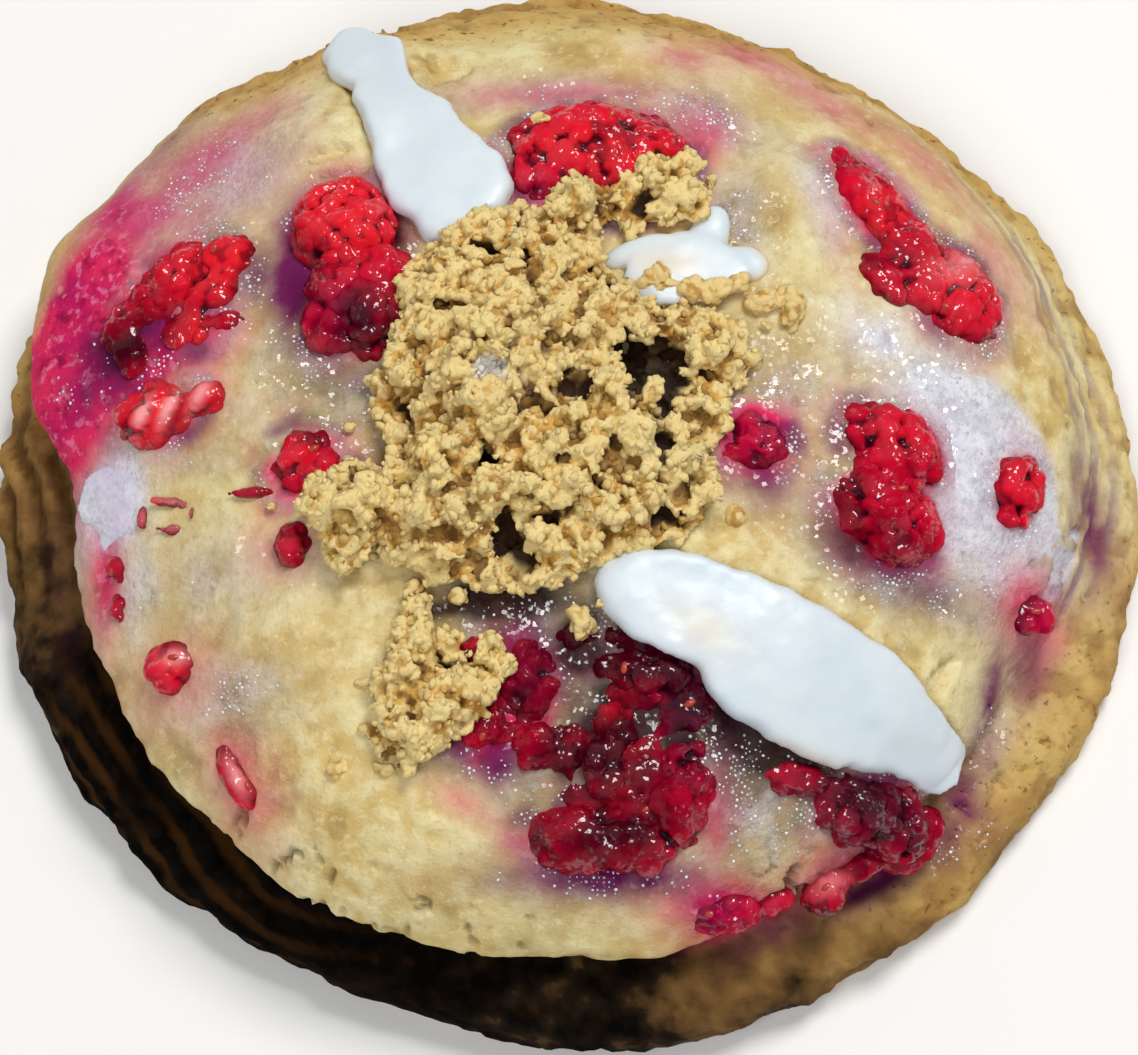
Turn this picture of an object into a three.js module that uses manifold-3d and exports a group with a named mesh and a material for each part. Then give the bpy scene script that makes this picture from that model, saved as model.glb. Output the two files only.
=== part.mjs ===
// A raspberry cheesecake cookie: a thick round of pale dough whose cap has slumped over a browned
// foot, with torn raspberries and pieces of cream cheese sunk in its top, and a heap of biscuit
// crumbs in the middle. Millimetres and degrees, +Z up, the foot's flat underside on z = 0.
import * as THREE from "three";
import { mergeVertices } from "three/addons/utils/BufferGeometryUtils.js";
import Module from "manifold-3d";

const wasm = await Module();
wasm.setup();

// ---- Driving dimensions -----------------------------------------------------------------------

const HEIGHT = 27; // of the dough at its middle
const TOUCH_GAP = 0.3; // between two pieces that touch

// Values met every 30 degrees round the cookie, from +X towards +Y.
const FOOT_RADII = [56, 55.2, 53.6, 55, 53.8, 56.2, 56, 55.6, 53.6, 55, 55.3, 55.2];
const CAP_RADII = [50.5, 51, 50.6, 50, 51.5, 52.3, 48.7, 48.7, 49.8, 49.3, 47.6, 46.8];
const CAP_EDGE_HEIGHTS = [8.5, 8.5, 8.5, 9, 9.5, 10.5, 12.5, 13, 13, 13, 11.5, 9];
const UNDERCUTS = [-1, -1.2, -1.2, -1, -0.6, 0.4, 1.8, 2.2, 2.4, 2.2, 1, -0.6];

const FOOT_TOP_SHARE = 0.62; // the height of the foot's shoulder, as a share of the cap's edge
const FOOT_RIM_SHARE = 0.3; // and where the foot reaches furthest out
const DOME_POWER = 2.6; // how flat the dome's middle is
const DOME_FALL = 0.6; // how steeply its shoulder falls

const RADIAL_STEPS = 44;
const DOME_RINGS = 9;
const SIDE_RINGS = 6;

// Swellings and hollows of the dough's top: place, size along and across, turn, and rise.
const SWELLINGS = [
  { x: -24.5, y: 31, along: 6, across: 4.5, turn: 20, rise: 1.9 }, // behind the left berry
  { x: -2, y: 40, along: 16, across: 3.5, turn: 0, rise: 1.1 }, // the back shoulder
  { x: 20, y: 24, along: 10, across: 4.5, turn: 95, rise: 1.7 },
  { x: 38, y: 25, along: 9, across: 3, turn: -50, rise: 1.3 }, // the right shoulder
  { x: 15.5, y: 28, along: 5, across: 3, turn: 80, rise: -1.2 },
  { x: -21.5, y: 4, along: 5, across: 3.5, turn: 40, rise: -1.1 },
  { x: -27, y: -22, along: 9, across: 6.5, turn: 30, rise: 1.2 },
  { x: -19, y: -37, along: 7, across: 6, turn: 60, rise: 1.5 }, // the two front lobes
  { x: 0, y: -45, along: 12, across: 3.5, turn: 5, rise: 1.2 },
  { x: 38.5, y: -20, along: 5, across: 4, turn: 60, rise: 1.2 },
  { x: -31, y: -1, along: 5, across: 4, turn: 0, rise: 0.9 },
];

// A raspberry is one or more lobes: place, length, width, height, turn, and how far it stands proud
// of the dough.
const DRUPELET = 2.8; // across one bead of a berry
const DRUPELET_DEPTH = 0.65; // of the furrows between the beads
const LOBE_DETAILS = [[16, 3], [9.5, 2], [0, 1]]; // the mesh detail of lobes longer than each length
const BERRIES = {
  berry_back: [{ x: 2.4, y: 26.4, size: [18.8, 14, 9], turn: 0, proud: 2.6 }],
  berry_back_left: [
    { x: -21.2, y: 19, size: [11.5, 10.5, 9], turn: -74, proud: 3.8 },
    { x: -19, y: 11.5, size: [11, 9, 8], turn: -80, proud: 2.6 },
  ],
  berry_left: [
    { x: -36.4, y: 15.8, size: [14, 8, 7], turn: 28, proud: 2 },
    { x: -35.2, y: 10.2, size: [8, 5.5, 5], turn: 15, proud: 1.2 },
  ],
  berry_left_slice: [{ x: -38, y: 2, size: [11, 5.6, 5], turn: 12, proud: 1.4 }],
  berry_right_long: [
    { x: 28.9, y: 23.7, size: [14, 6.6, 7], turn: -56, proud: 1.6 },
    { x: 36, y: 14.8, size: [12.5, 9.6, 8], turn: -54, proud: 1.8 },
  ],
  berry_right: [
    { x: 29.8, y: -2, size: [11, 7.6, 7], turn: -24, proud: 2.4 },
    { x: 28.8, y: -8.6, size: [12.5, 9, 8], turn: -38, proud: 2.4 },
  ],
  berry_right_small: [{ x: 42.2, y: -4.4, size: [8, 6.2, 5], turn: 60, proud: 1.6 }],
  berry_front: [
    { x: 6.9, y: -24.6, size: [11, 6.5, 7], turn: -10, proud: 1.6 },
    { x: 3.8, y: -31, size: [13, 6.6, 7], turn: 90, proud: 1.6 },
    { x: 9.6, y: -34.6, size: [13, 7, 8], turn: 80, proud: 1.9 },
    { x: 2.8, y: -39.4, size: [15, 7, 8], turn: -4, proud: 2.4 },
  ],
  berry_front_left: [
    { x: -4, y: -25.4, size: [11, 6, 6], turn: -82, proud: 1.2 },
    { x: -7.4, y: -30, size: [6.5, 5.4, 5], turn: 30, proud: 0.9 },
  ],
  berry_front_right: [
    { x: 25.4, y: -35, size: [10.5, 6.2, 6], turn: -14, proud: 1.3 },
    { x: 29.6, y: -35.2, size: [9, 7, 7], turn: -62, proud: 2.2 },
  ],
  berry_mid_left: [
    { x: -25.4, y: -4, size: [7.5, 5.4, 5], turn: 62, proud: 1.6 },
    { x: -22.6, y: -6.6, size: [6, 4.6, 4.4], turn: -20, proud: 1.3 },
  ],
  berry_mid_right: [{ x: 17, y: -2.6, size: [7.6, 6.8, 5.5], turn: -30, proud: 1.5 }],
};

// Cream cheese: its outline and thickness. A piece with a depth is sunk that far in the dough, and the
// others lie on it.
const CREAMS = {
  cream_front_right: {
    outline: [
      [2, -18.4], [3.4, -14.6], [6.8, -12.6], [12.1, -13.8], [19.5, -16.9], [24.2, -18.2],
      [30.8, -22.4], [36, -25], [38.4, -28.4], [37, -31.8], [33.8, -33.8], [27.9, -33],
      [19.4, -31.2], [14.2, -28.4], [11.6, -24.6], [7.4, -21.8], [3.6, -21.4],
    ],
    thick: 4.4,
    sunk: 0,
  },
  cream_back_left: {
    outline: [
      [-23.6, 46], [-19.8, 46.8], [-16.6, 42], [-14.6, 36.2], [-11.4, 31.4], [-7.6, 27.6],
      [-5.4, 23.4], [-7.4, 19.6], [-12, 16.8], [-15.2, 19.4], [-17.6, 24], [-19.6, 29.4],
      [-21.8, 35.6], [-24.8, 40.8],
    ],
    thick: 4.2,
    sunk: 0,
  },
  cream_middle: {
    outline: [
      [4.4, 13.6], [7.6, 17.2], [12.2, 18.6], [16.6, 16.6], [17.6, 13.8], [12.6, 11.4],
      [7.4, 10.4],
    ],
    thick: 2.8,
    sunk: 0,
  },
  cream_right: {
    outline: [
      [30, 8], [35.4, 6.4], [40.6, 5.4], [44.4, 1.8], [46.4, -3.4], [45.8, -8.6],
      [41.6, -11.6], [37.4, -10.4], [35.6, -5], [35.6, 0.4], [32.4, 3.8],
    ],
    thick: 2.6,
    sunk: 2,
  },
  cream_left: {
    outline: [
      [-46, -2.2], [-42.6, -0.8], [-40.8, -3.6], [-41, -8], [-44, -11.4], [-46, -8.4],
      [-47, -5],
    ],
    thick: 2.8,
    sunk: 1.6,
  },
};

// Crumbs lie heaped: each mound's outline, and how high it rises over the dough.
const CRUMBS = {
  crumb_heap: [
    {
      outline: [
        [-12, 19], [-5.4, 21.6], [0, 20.4], [4.4, 14.6], [9, 10.4], [15.6, 9.8], [19, 6],
        [15.6, 3], [13.8, -3.4], [14, -9.6], [11.4, -13], [3.4, -15.6], [-4, -18.4],
        [-11, -17.6], [-16.4, -15.6], [-17.6, -8], [-16.6, -2.6], [-19.6, 1.4], [-17, 7],
        [-16.4, 14.4],
      ],
      rise: 7.5,
    },
    {
      outline: [[-4, 19.4], [1, 22.6], [6, 23.4], [10.6, 26.4], [13.4, 23], [8.4, 19.6], [2, 18.6]],
      rise: 5.2,
    },
    {
      outline: [[-14, -8], [-20, -5.6], [-24.4, -9], [-24, -12.4], [-18, -13.6], [-14, -13]],
      rise: 4.6,
    },
  ],
  crumb_clump_front: [
    {
      outline: [
        [-13.4, -20.6], [-9.6, -22.4], [-5.4, -24.4], [-7, -28], [-10.2, -31], [-15.6, -34.6],
        [-19.2, -31.6], [-18.4, -26.6], [-16.4, -22.6],
      ],
      rise: 4.4,
    },
  ],
};
const MOUND_RELIEF = 1.3; // of the lumps on a crumb mound
const MOUND_LUMP = 11; // across one of those lumps

// ---- Shapes -------------------------------------------------------------------------------------

const { degToRad, lerp, smoothstep } = THREE.MathUtils;

// A smooth value between those met every so often round the cookie.
function around(values, angle) {
  const turns = (((angle / (2 * Math.PI)) % 1) + 1) % 1;
  const at = turns * values.length;
  const i = Math.floor(at);
  const t = at - i;
  const [a, b, c, d] = [-1, 0, 1, 2].map((k) => values[(i + k + values.length) % values.length]);
  return b + (t / 2) * (c - a + t * (2 * a - 5 * b + 4 * c - d + t * (3 * (b - c) + d - a)));
}

// The rise of the swellings at a place.
function swelling(x, y) {
  let rise = 0;
  for (const s of SWELLINGS) {
    const turn = degToRad(s.turn);
    const u = ((x - s.x) * Math.cos(turn) + (y - s.y) * Math.sin(turn)) / s.along;
    const v = ((y - s.y) * Math.cos(turn) - (x - s.x) * Math.sin(turn)) / s.across;
    rise += s.rise * Math.exp(-(u * u + v * v));
  }
  return rise;
}

// The dough's upper surface over a place, without its sockets.
function doughTop(x, y) {
  const angle = Math.atan2(y, x);
  const edge = around(CAP_EDGE_HEIGHTS, angle);
  const share = Math.min(1, Math.hypot(x, y) / around(CAP_RADII, angle));
  const dome = (1 - share ** DOME_POWER) ** DOME_FALL;
  return edge + (HEIGHT - edge) * dome + swelling(x, y) * (1 - share ** 8);
}

// The side below the cap's edge, down to the foot's flat underside, at one angle: [radius, z].
function sideCurve(angle) {
  const cap = around(CAP_RADII, angle);
  const foot = around(FOOT_RADII, angle);
  const edge = around(CAP_EDGE_HEIGHTS, angle);
  const crease = cap - around(UNDERCUTS, angle);
  const shoulder = FOOT_TOP_SHARE * edge;
  const rim = FOOT_RIM_SHARE * edge;
  return new THREE.SplineCurve([
    new THREE.Vector2(cap, edge),
    new THREE.Vector2(crease, lerp(edge, shoulder, 0.6)),
    new THREE.Vector2(lerp(crease, foot, 0.4), shoulder),
    new THREE.Vector2(lerp(crease, foot, 0.86), lerp(shoulder, rim, 0.4)),
    new THREE.Vector2(foot, rim),
    new THREE.Vector2(foot - 0.7, 0.25 * rim),
    new THREE.Vector2(foot - 2.4, 0),
  ]);
}

// A lathed solid, each of whose points is then placed by a function of its angle and its ring.
function swept(steps, rings, place) {
  const profile = Array.from({ length: rings + 1 }, (_, i) => {
    const t = i / rings;
    return new THREE.Vector2(Math.sin(Math.PI * t), -Math.cos(Math.PI * t));
  });
  const geometry = new THREE.LatheGeometry(profile, steps);
  const { position, uv } = geometry.attributes;
  for (let i = 0; i < position.count; i++) {
    const angle = 2 * Math.PI * (uv.getX(i) % 1);
    const ring = Math.round(uv.getY(i) * rings);
    position.setXYZ(i, ...place(angle, ring));
  }
  return geometry;
}

function doughGeometry() {
  const rings = DOME_RINGS + SIDE_RINGS + 1;
  return swept(RADIAL_STEPS, rings, (angle, ring) => {
    if (ring === 0) return [0, 0, 0];
    const fromTop = rings - ring;
    if (fromTop <= DOME_RINGS) {
      // Rings crowd towards the edge, where the dome bends most.
      const share = Math.sin((Math.PI / 2) * (fromTop / DOME_RINGS));
      const radius = share * around(CAP_RADII, angle);
      const [x, y] = [radius * Math.cos(angle), radius * Math.sin(angle)];
      return [x, y, doughTop(x, y)];
    }
    const { x: radius, y: z } = sideCurve(angle).getPoint((fromTop - DOME_RINGS) / SIDE_RINGS);
    return [radius * Math.cos(angle), radius * Math.sin(angle), z];
  });
}

// One lobe of a berry: an ellipsoid beaded with drupelets set on a spiral, or its plain socket.
function lobeGeometry(lobe, { detail, beaded, grow = 0 }) {
  const [length, width, height] = lobe.size;
  const half = [length / 2, width / 2, height / 2];
  const geometry = new THREE.IcosahedronGeometry(1, detail);
  const { position } = geometry.attributes;
  const area = Math.PI * ((length * width + width * height + height * length) / 3);
  const beads = beaded ? spiral(Math.round(area / DRUPELET ** 2)) : [];
  const out = new THREE.Vector3();
  for (let i = 0; i < position.count; i++) {
    out.fromBufferAttribute(position, i).normalize();
    const nearest = beads.reduce((near, bead) => Math.max(near, bead.dot(out)), -1);
    const rise = beaded ? DRUPELET_DEPTH * (beadRise(nearest, beads.length) - 1) : grow;
    position.setXYZ(i, out.x * (half[0] + rise), out.y * (half[1] + rise), out.z * (half[2] + rise));
  }
  geometry.rotateZ(degToRad(lobe.turn));
  const z = doughTop(lobe.x, lobe.y) + lobe.proud - height / 2;
  return geometry.translate(lobe.x, lobe.y, z);
}

// Evenly spread directions.
function spiral(count) {
  const golden = Math.PI * (3 - Math.sqrt(5));
  return Array.from({ length: count }, (_, i) => {
    const z = 1 - (2 * i + 1) / count;
    const r = Math.sqrt(1 - z * z);
    return new THREE.Vector3(r * Math.cos(golden * i), r * Math.sin(golden * i), z);
  });
}

// From 1 over a bead's middle down to 0 where it meets the next.
function beadRise(cosine, count) {
  const reach = 2 / Math.sqrt(count);
  const away = Math.min(1, Math.acos(Math.min(1, cosine)) / reach);
  return Math.sqrt(1 - away * away);
}

// A closed outline round its own middle, as a radius for each angle.
function outlineRadius(points) {
  const middle = new THREE.Vector2();
  for (const [x, y] of points) middle.add(new THREE.Vector2(x, y).divideScalar(points.length));
  const curve = new THREE.CatmullRomCurve3(
    points.map(([x, y]) => new THREE.Vector3(x - middle.x, y - middle.y, 0)),
    true,
  );
  const samples = curve.getSpacedPoints(12 * points.length).map((p) => ({
    angle: Math.atan2(p.y, p.x),
    radius: Math.hypot(p.x, p.y),
  }));
  const radius = (angle) => {
    const away = (s) => Math.abs(Math.atan2(Math.sin(s.angle - angle), Math.cos(s.angle - angle)));
    return samples.reduce((best, s) => (away(s) < away(best) ? s : best)).radius;
  };
  return { middle, radius };
}

// A pad that lies draped on the dough: `upper` gives its height over the dough for each share of its
// outline's radius, and `under` its underside, in so many rings each.
function drapedPad(outline, { rings, grow = 0, upper, under }) {
  const { middle, radius } = outlineRadius(outline);
  return swept(Math.round(1.6 * outline.length), rings.upper + rings.under, (angle, ring) => {
    const below = ring < rings.under;
    const inward = below ? 1 - ring / rings.under : (ring - rings.under) / rings.upper;
    const share = Math.cos((Math.PI / 2) * inward);
    const reach = share * (radius(angle) + grow);
    const x = middle.x + reach * Math.cos(angle);
    const y = middle.y + reach * Math.sin(angle);
    return [x, y, doughTop(x, y) + (below ? under(share, x, y) : upper(share, x, y))];
  });
}

function creamGeometry({ outline, thick, sunk }, grow = 0) {
  const shoulder = (share) => Math.sqrt(Math.max(0, 1 - share ** 5));
  return drapedPad(outline, {
    rings: { upper: 3, under: 2 },
    grow,
    upper: (share) => (thick - sunk + grow) * shoulder(share),
    under: (share) => -(sunk + grow) * shoulder(share),
  });
}

function moundGeometry({ outline, rise }) {
  const lumps = (x, y) =>
    Math.sin((2 * Math.PI * (x + 0.4 * y)) / MOUND_LUMP) * Math.cos((2 * Math.PI * y) / (1.3 * MOUND_LUMP));
  return drapedPad(outline, {
    rings: { upper: 4, under: 1 },
    upper: (share, x, y) =>
      1.2 + rise * (1 - share ** 3) ** 0.7 + MOUND_RELIEF * lumps(x, y) * smoothstep(1 - share, 0, 0.3),
    under: () => -1,
  });
}

// ---- Solids -------------------------------------------------------------------------------------

function toSolid(geometry) {
  const bare = geometry.index ? geometry.toNonIndexed() : geometry.clone();
  bare.deleteAttribute("normal");
  bare.deleteAttribute("uv");
  const merged = mergeVertices(bare, 1e-3);
  const mesh = new wasm.Mesh({
    numProp: 3,
    vertProperties: merged.attributes.position.array,
    triVerts: new Uint32Array(merged.index.array),
  });
  return new wasm.Manifold(mesh);
}

function toGeometry(solid) {
  const mesh = solid.getMesh();
  const geometry = new THREE.BufferGeometry();
  geometry.setAttribute("position", new THREE.BufferAttribute(mesh.vertProperties, 3));
  geometry.setIndex(new THREE.BufferAttribute(mesh.triVerts, 1));
  geometry.computeVertexNormals();
  return geometry;
}

const joined = (solids) => solids.reduce((sum, solid) => sum.add(solid));

// A solid cut by others, without the chips that come loose.
function cutBy(solid, tools) {
  const bodies = solid.subtract(joined(tools)).decompose();
  return bodies.reduce((largest, body) => (body.volume() > largest.volume() ? body : largest));
}

const berries = {};
const sockets = {};
for (const [name, lobes] of Object.entries(BERRIES)) {
  const detail = (lobe) => LOBE_DETAILS.find(([length]) => lobe.size[0] > length)[1];
  const beaded = (lobe) => lobeGeometry(lobe, { detail: detail(lobe), beaded: true });
  const plain = (lobe) => lobeGeometry(lobe, { detail: 1, beaded: false, grow: 2 * TOUCH_GAP });
  berries[name] = joined(lobes.map((lobe) => toSolid(beaded(lobe))));
  sockets[name] = joined(lobes.map((lobe) => toSolid(plain(lobe))));
}

const dough = toSolid(doughGeometry());
const floor = dough.translate(0, 0, TOUCH_GAP); // what lies on the dough stays above this

const creams = {};
const beds = {};
for (const [name, cream] of Object.entries(CREAMS)) {
  const below = cream.sunk ? [] : [floor];
  creams[name] = cutBy(toSolid(creamGeometry(cream)), [...Object.values(sockets), ...below]);
  beds[name] = toSolid(creamGeometry(cream, TOUCH_GAP));
}

const sunkBeds = Object.keys(beds).filter((name) => CREAMS[name].sunk).map((name) => beds[name]);
const cookie = cutBy(dough, [...Object.values(sockets), ...sunkBeds]);

const crumbs = {};
for (const [name, mounds] of Object.entries(CRUMBS)) {
  const heap = joined(mounds.map((mound) => toSolid(moundGeometry(mound))));
  crumbs[name] = cutBy(heap, [floor, ...Object.values(sockets), ...Object.values(beds)]);
}

// ---- The model ------------------------------------------------------------------------------------

const finishes = {
  dough: new THREE.MeshStandardMaterial({ color: "#d9bf85", roughness: 0.7, metalness: 0 }),
  berry: new THREE.MeshStandardMaterial({ color: "#b01430", roughness: 0.3, metalness: 0 }),
  cream: new THREE.MeshStandardMaterial({ color: "#eef0ee", roughness: 0.45, metalness: 0 }),
  crumb: new THREE.MeshStandardMaterial({ color: "#cfa862", roughness: 0.9, metalness: 0 }),
};

const part = new THREE.Group();
function place(solids, material) {
  for (const [name, solid] of Object.entries(solids)) {
    const mesh = new THREE.Mesh(toGeometry(solid), material);
    mesh.name = name;
    part.add(mesh);
  }
}
place({ cookie }, finishes.dough);
place(berries, finishes.berry);
place(creams, finishes.cream);
place(crumbs, finishes.crumb);

// The origin is the middle of the whole object's box, on its underside.
const box = new THREE.Box3().setFromObject(part);
const middle = box.getCenter(new THREE.Vector3());
part.position.set(-middle.x, -middle.y, -box.min.z);

export default part;
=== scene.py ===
"""A raspberry cheesecake cookie: pale dough slumped over a browned foot, with crushed raspberries, cream
cheese and biscuit crumbs on top. Shapes are worked out in millimetres and become metres in their meshes."""
import math

import bpy
import numpy as np
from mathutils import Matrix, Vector
from mathutils.bvhtree import BVHTree


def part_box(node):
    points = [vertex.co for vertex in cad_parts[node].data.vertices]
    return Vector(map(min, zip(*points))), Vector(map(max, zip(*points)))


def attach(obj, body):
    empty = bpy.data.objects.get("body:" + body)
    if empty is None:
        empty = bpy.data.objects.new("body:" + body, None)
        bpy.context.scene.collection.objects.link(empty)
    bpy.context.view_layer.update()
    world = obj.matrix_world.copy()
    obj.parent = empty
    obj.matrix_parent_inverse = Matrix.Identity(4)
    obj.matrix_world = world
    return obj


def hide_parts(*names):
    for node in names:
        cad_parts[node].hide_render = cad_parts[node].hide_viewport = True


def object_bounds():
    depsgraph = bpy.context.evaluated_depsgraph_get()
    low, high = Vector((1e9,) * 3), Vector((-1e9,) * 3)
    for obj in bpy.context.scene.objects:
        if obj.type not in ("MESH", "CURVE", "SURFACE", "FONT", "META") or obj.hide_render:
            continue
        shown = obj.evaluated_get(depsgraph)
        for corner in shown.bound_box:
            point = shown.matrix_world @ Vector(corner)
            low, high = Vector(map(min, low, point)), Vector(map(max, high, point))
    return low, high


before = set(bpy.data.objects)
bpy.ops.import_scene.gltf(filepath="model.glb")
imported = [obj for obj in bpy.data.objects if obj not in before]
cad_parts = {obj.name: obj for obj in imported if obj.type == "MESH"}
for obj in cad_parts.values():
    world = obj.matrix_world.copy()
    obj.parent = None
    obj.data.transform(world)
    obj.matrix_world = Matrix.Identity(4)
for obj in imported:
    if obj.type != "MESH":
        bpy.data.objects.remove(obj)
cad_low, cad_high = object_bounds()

bl_info = {
    "name": "Raspberry cheesecake cookie",
    "version": (1, 0, 0),
    "blender": (4, 5, 0),
    "location": "3D View > Sidebar > Cookie",
    "description": "Makes a raspberry cheesecake cookie and the stage it is shown on",
    "category": "Object",
}

# ---- Sizes ----------------------------------------------------------------------------------------------

DESIGN_WIDTH = 112.0  # the cookie's width in the millimetres that the lists below are in
cookie_low, cookie_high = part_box("cookie")
MM = (cookie_high.x - cookie_low.x) / DESIGN_WIDTH
HEIGHT = cookie_high.z / MM
TURN = 2 * math.pi

# Values met every 30 degrees round the cookie, from +X towards +Y.
FOOT_RADII = (56, 55.2, 53.6, 55, 53.8, 56.2, 56, 55.6, 53.6, 55, 55.3, 55.2)
CAP_RADII = (50.5, 51, 50.6, 50, 52.6, 54.8, 48.7, 48.7, 49.8, 49.3, 47.6, 46.8)
CAP_EDGE_HEIGHTS = (8.5, 8.5, 8.5, 9, 9.5, 10.5, 12.5, 13, 13, 13, 11.5, 9)
UNDERCUTS = (-1, -1.2, -1.2, -1, -0.6, 0.4, 1.8, 2.2, 2.4, 2.2, 1, -0.6)
CRUST_HEIGHTS = (5, 6.5, 14.5, 23, 21.5, 10, 10, 11.5, 11.5, 10.5, 9, 7.5)
# How scorched the foot is; the high shares on the lower left also paint the shade that falls there.
BURNT_AND_SHADE_SHARES = (0.0, 0.0, 0.1, 0.2, 0.26, 0.2, 0.5, 1.3, 1.5, 1.05, 0.32, 0.0)
BULGE = (164, 17)  # where the cap comes out over the foot: the middle's angle and half the width
BULGE_SIZE = 2.6
FOOT_TOP_SHARE = 0.62
FOOT_RIM_SHARE = 0.3
DOME_POWER = 2.6
DOME_FALL = 0.6
PROFILE_STEPS, PROFILE_RADIUS, PROFILE_RISE = 600, 50, 14  # the plain dome that spaces the cap's rings
COVERED_SHARE = 0.2  # the part of the radius under the crumbs, where a quarter of the rings is enough

# Swellings and hollows of the dough's top: place, size along and across, turn, and rise.
SWELLINGS = (
    (-24.5, 31, 6, 4.5, 20, 1.9),
    (-2, 40, 16, 3.5, 0, 1.1),
    (20, 24, 10, 4.5, 95, 1.7),
    (38, 25, 9, 3, -50, 1.3),
    (15.5, 28, 5, 3, 80, -1.2),
    (-21.5, 4, 5, 3.5, 40, -1.1),
    (-27, -22, 9, 6.5, 30, 1.2),
    (-19, -37, 7, 6, 60, 1.5),
    (0, -45, 12, 3.5, 5, 1.2),
    (38.5, -20, 5, 4, 60, 1.2),
    (-31, -1, 5, 4, 0, 0.9),
)

BERRY_NODES = tuple(sorted(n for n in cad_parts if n.startswith("berry")))
CREAM_NODES = tuple(sorted(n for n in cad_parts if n.startswith("cream")))
CRUMB_NODES = tuple(sorted(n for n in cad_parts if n.startswith("crumb")))
FILMS = ("cream_left", "cream_right")  # cream that has melted into the dough

# ---- Random fields --------------------------------------------------------------------------------------


def lattice(cells, seed):
    """A random value from -1 to 1 for each whole-numbered cell."""
    c = cells.astype(np.int64)
    mixed = (c[..., 0] * 73856093) ^ (c[..., 1] * 19349663) ^ (c[..., 2] * 83492791) ^ (seed * 2654435761)
    for _ in range(2):
        mixed &= 0xFFFFFFFF
        mixed = (mixed ^ (mixed >> 16)) * 0x45D9F3B
    return ((mixed >> 8) & 0xFFFFFF) / 0x7FFFFF - 1


def turned(points, seed):
    """The points turned by a random turn, so that fields don't line up with the axes or each other."""
    axes, _ = np.linalg.qr(np.random.default_rng(seed).normal(size=(3, 3)))
    return points @ axes


def smooth_noise(points, size, seed):
    """A smooth random field from -1 to 1, whose bumps are about `size` apart."""
    at = turned(points, seed) / size
    cell = np.floor(at)
    t = at - cell
    t = t * t * t * (t * (t * 6 - 15) + 10)
    total = np.zeros(len(points))
    for corner in np.ndindex(2, 2, 2):
        weight = np.where(corner, t, 1 - t).prod(axis=1)
        total += weight * lattice(cell + corner, seed)
    return total


def layered_noise(points, size, seed, layers=3):
    """Smooth noise with finer layers on it, each half the size of the last."""
    total, reach = np.zeros(len(points)), 0
    for layer in range(layers):
        total += 0.5**layer * smooth_noise(points, size / 2**layer, seed + 101 * layer)
        reach += 0.5**layer
    return total / reach


def nearest_middle(points, size, seed):
    """For scattered middles about `size` apart, one in each cell: the nearest one's cell, the arm from it
    to the point, and the arm's length. Lengths are shares of `size`."""
    at = turned(points, seed) / size
    cell = np.floor(at)
    home, arm = np.zeros(at.shape), np.zeros(at.shape)
    nearest = np.full(len(points), np.inf)
    for step in np.ndindex(3, 3, 3):
        corner = cell + np.array(step) - 1
        middle = corner + 0.5 + 0.45 * np.stack([lattice(corner, seed + k) for k in (1, 2, 3)], axis=1)
        away = np.linalg.norm(at - middle, axis=1)
        closer = (away < nearest)[:, None]
        home = np.where(closer, corner, home)
        arm = np.where(closer, at - middle, arm)
        nearest = np.minimum(nearest, away)
    return home, arm, nearest


def cell_noise(points, size, seed):
    """For scattered middles: the distance to the nearest, as a share of `size`, and its random value."""
    home, _, nearest = nearest_middle(points, size, seed)
    return nearest, lattice(home, seed + 4)


def broken(points, size, seed):
    """Flat faces about `size` across, each leaning its own way as on a broken crumb: how far each point
    rises, from about -1 to 1, and a value from 0 to 1 for its face."""
    home, arm, _ = nearest_middle(points, size, seed)
    lean = np.stack([lattice(home, seed + k) for k in (4, 5, 6)], axis=1)
    level = lattice(home, seed + 7)
    return 1.4 * (arm * lean).sum(axis=1) + 0.5 * level, 0.5 + 0.5 * level


def wobble(points, size, seed):
    """A smooth random shift for each point."""
    return np.stack([smooth_noise(points, size, seed + k) for k in range(3)], axis=1)


def ramp(value, low, high):
    """From 0 at `low` to 1 at `high`, eased at both ends."""
    t = np.clip((value - low) / (high - low), 0, 1)
    return t * t * (3 - 2 * t)


# ---- Meshes ---------------------------------------------------------------------------------------------

WELD_GAP = 0.001  # a CAD mesh's points closer than this are one point
FORM_VOXEL = 0.5  # squares of a CAD node's first remeshing, before its form is worked
ABOVE, BELOW = 60, -9  # heights clear of the cookie, which rays start from


def mesh_from(name, points, quads, triangles):
    """A mesh of points in millimetres."""
    corners = np.concatenate([np.ravel(quads), np.ravel(triangles)]).astype(np.int32)
    starts = np.concatenate([4 * np.arange(len(quads)), 4 * len(quads) + 3 * np.arange(len(triangles))])
    mesh = bpy.data.meshes.new(name)
    mesh.vertices.add(len(points))
    mesh.vertices.foreach_set("co", np.ravel(points * MM).astype(np.float32))
    mesh.loops.add(len(corners))
    mesh.loops.foreach_set("vertex_index", corners)
    mesh.polygons.add(len(starts))
    mesh.polygons.foreach_set("loop_start", starts.astype(np.int32))
    mesh.update(calc_edges=True)
    mesh.validate()
    return mesh


def add_object(name, mesh):
    piece = bpy.data.objects.new(name, mesh)
    bpy.context.scene.collection.objects.link(piece)
    return piece


def points_of(mesh):
    """The mesh's points, in millimetres."""
    flat = np.empty(3 * len(mesh.vertices), np.float32)
    mesh.vertices.foreach_get("co", flat)
    return flat.reshape(-1, 3).astype(float) / MM


def normals_of(mesh):
    flat = np.empty(3 * len(mesh.vertices), np.float32)
    mesh.vertex_normals.foreach_get("vector", flat)
    return flat.reshape(-1, 3).astype(float)


def surface_of(mesh):
    """The mesh's points, in millimetres, and its normals."""
    return points_of(mesh), normals_of(mesh)


def set_points(mesh, points):
    mesh.vertices.foreach_set("co", np.ravel(points * MM).astype(np.float32))
    mesh.update()


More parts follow.
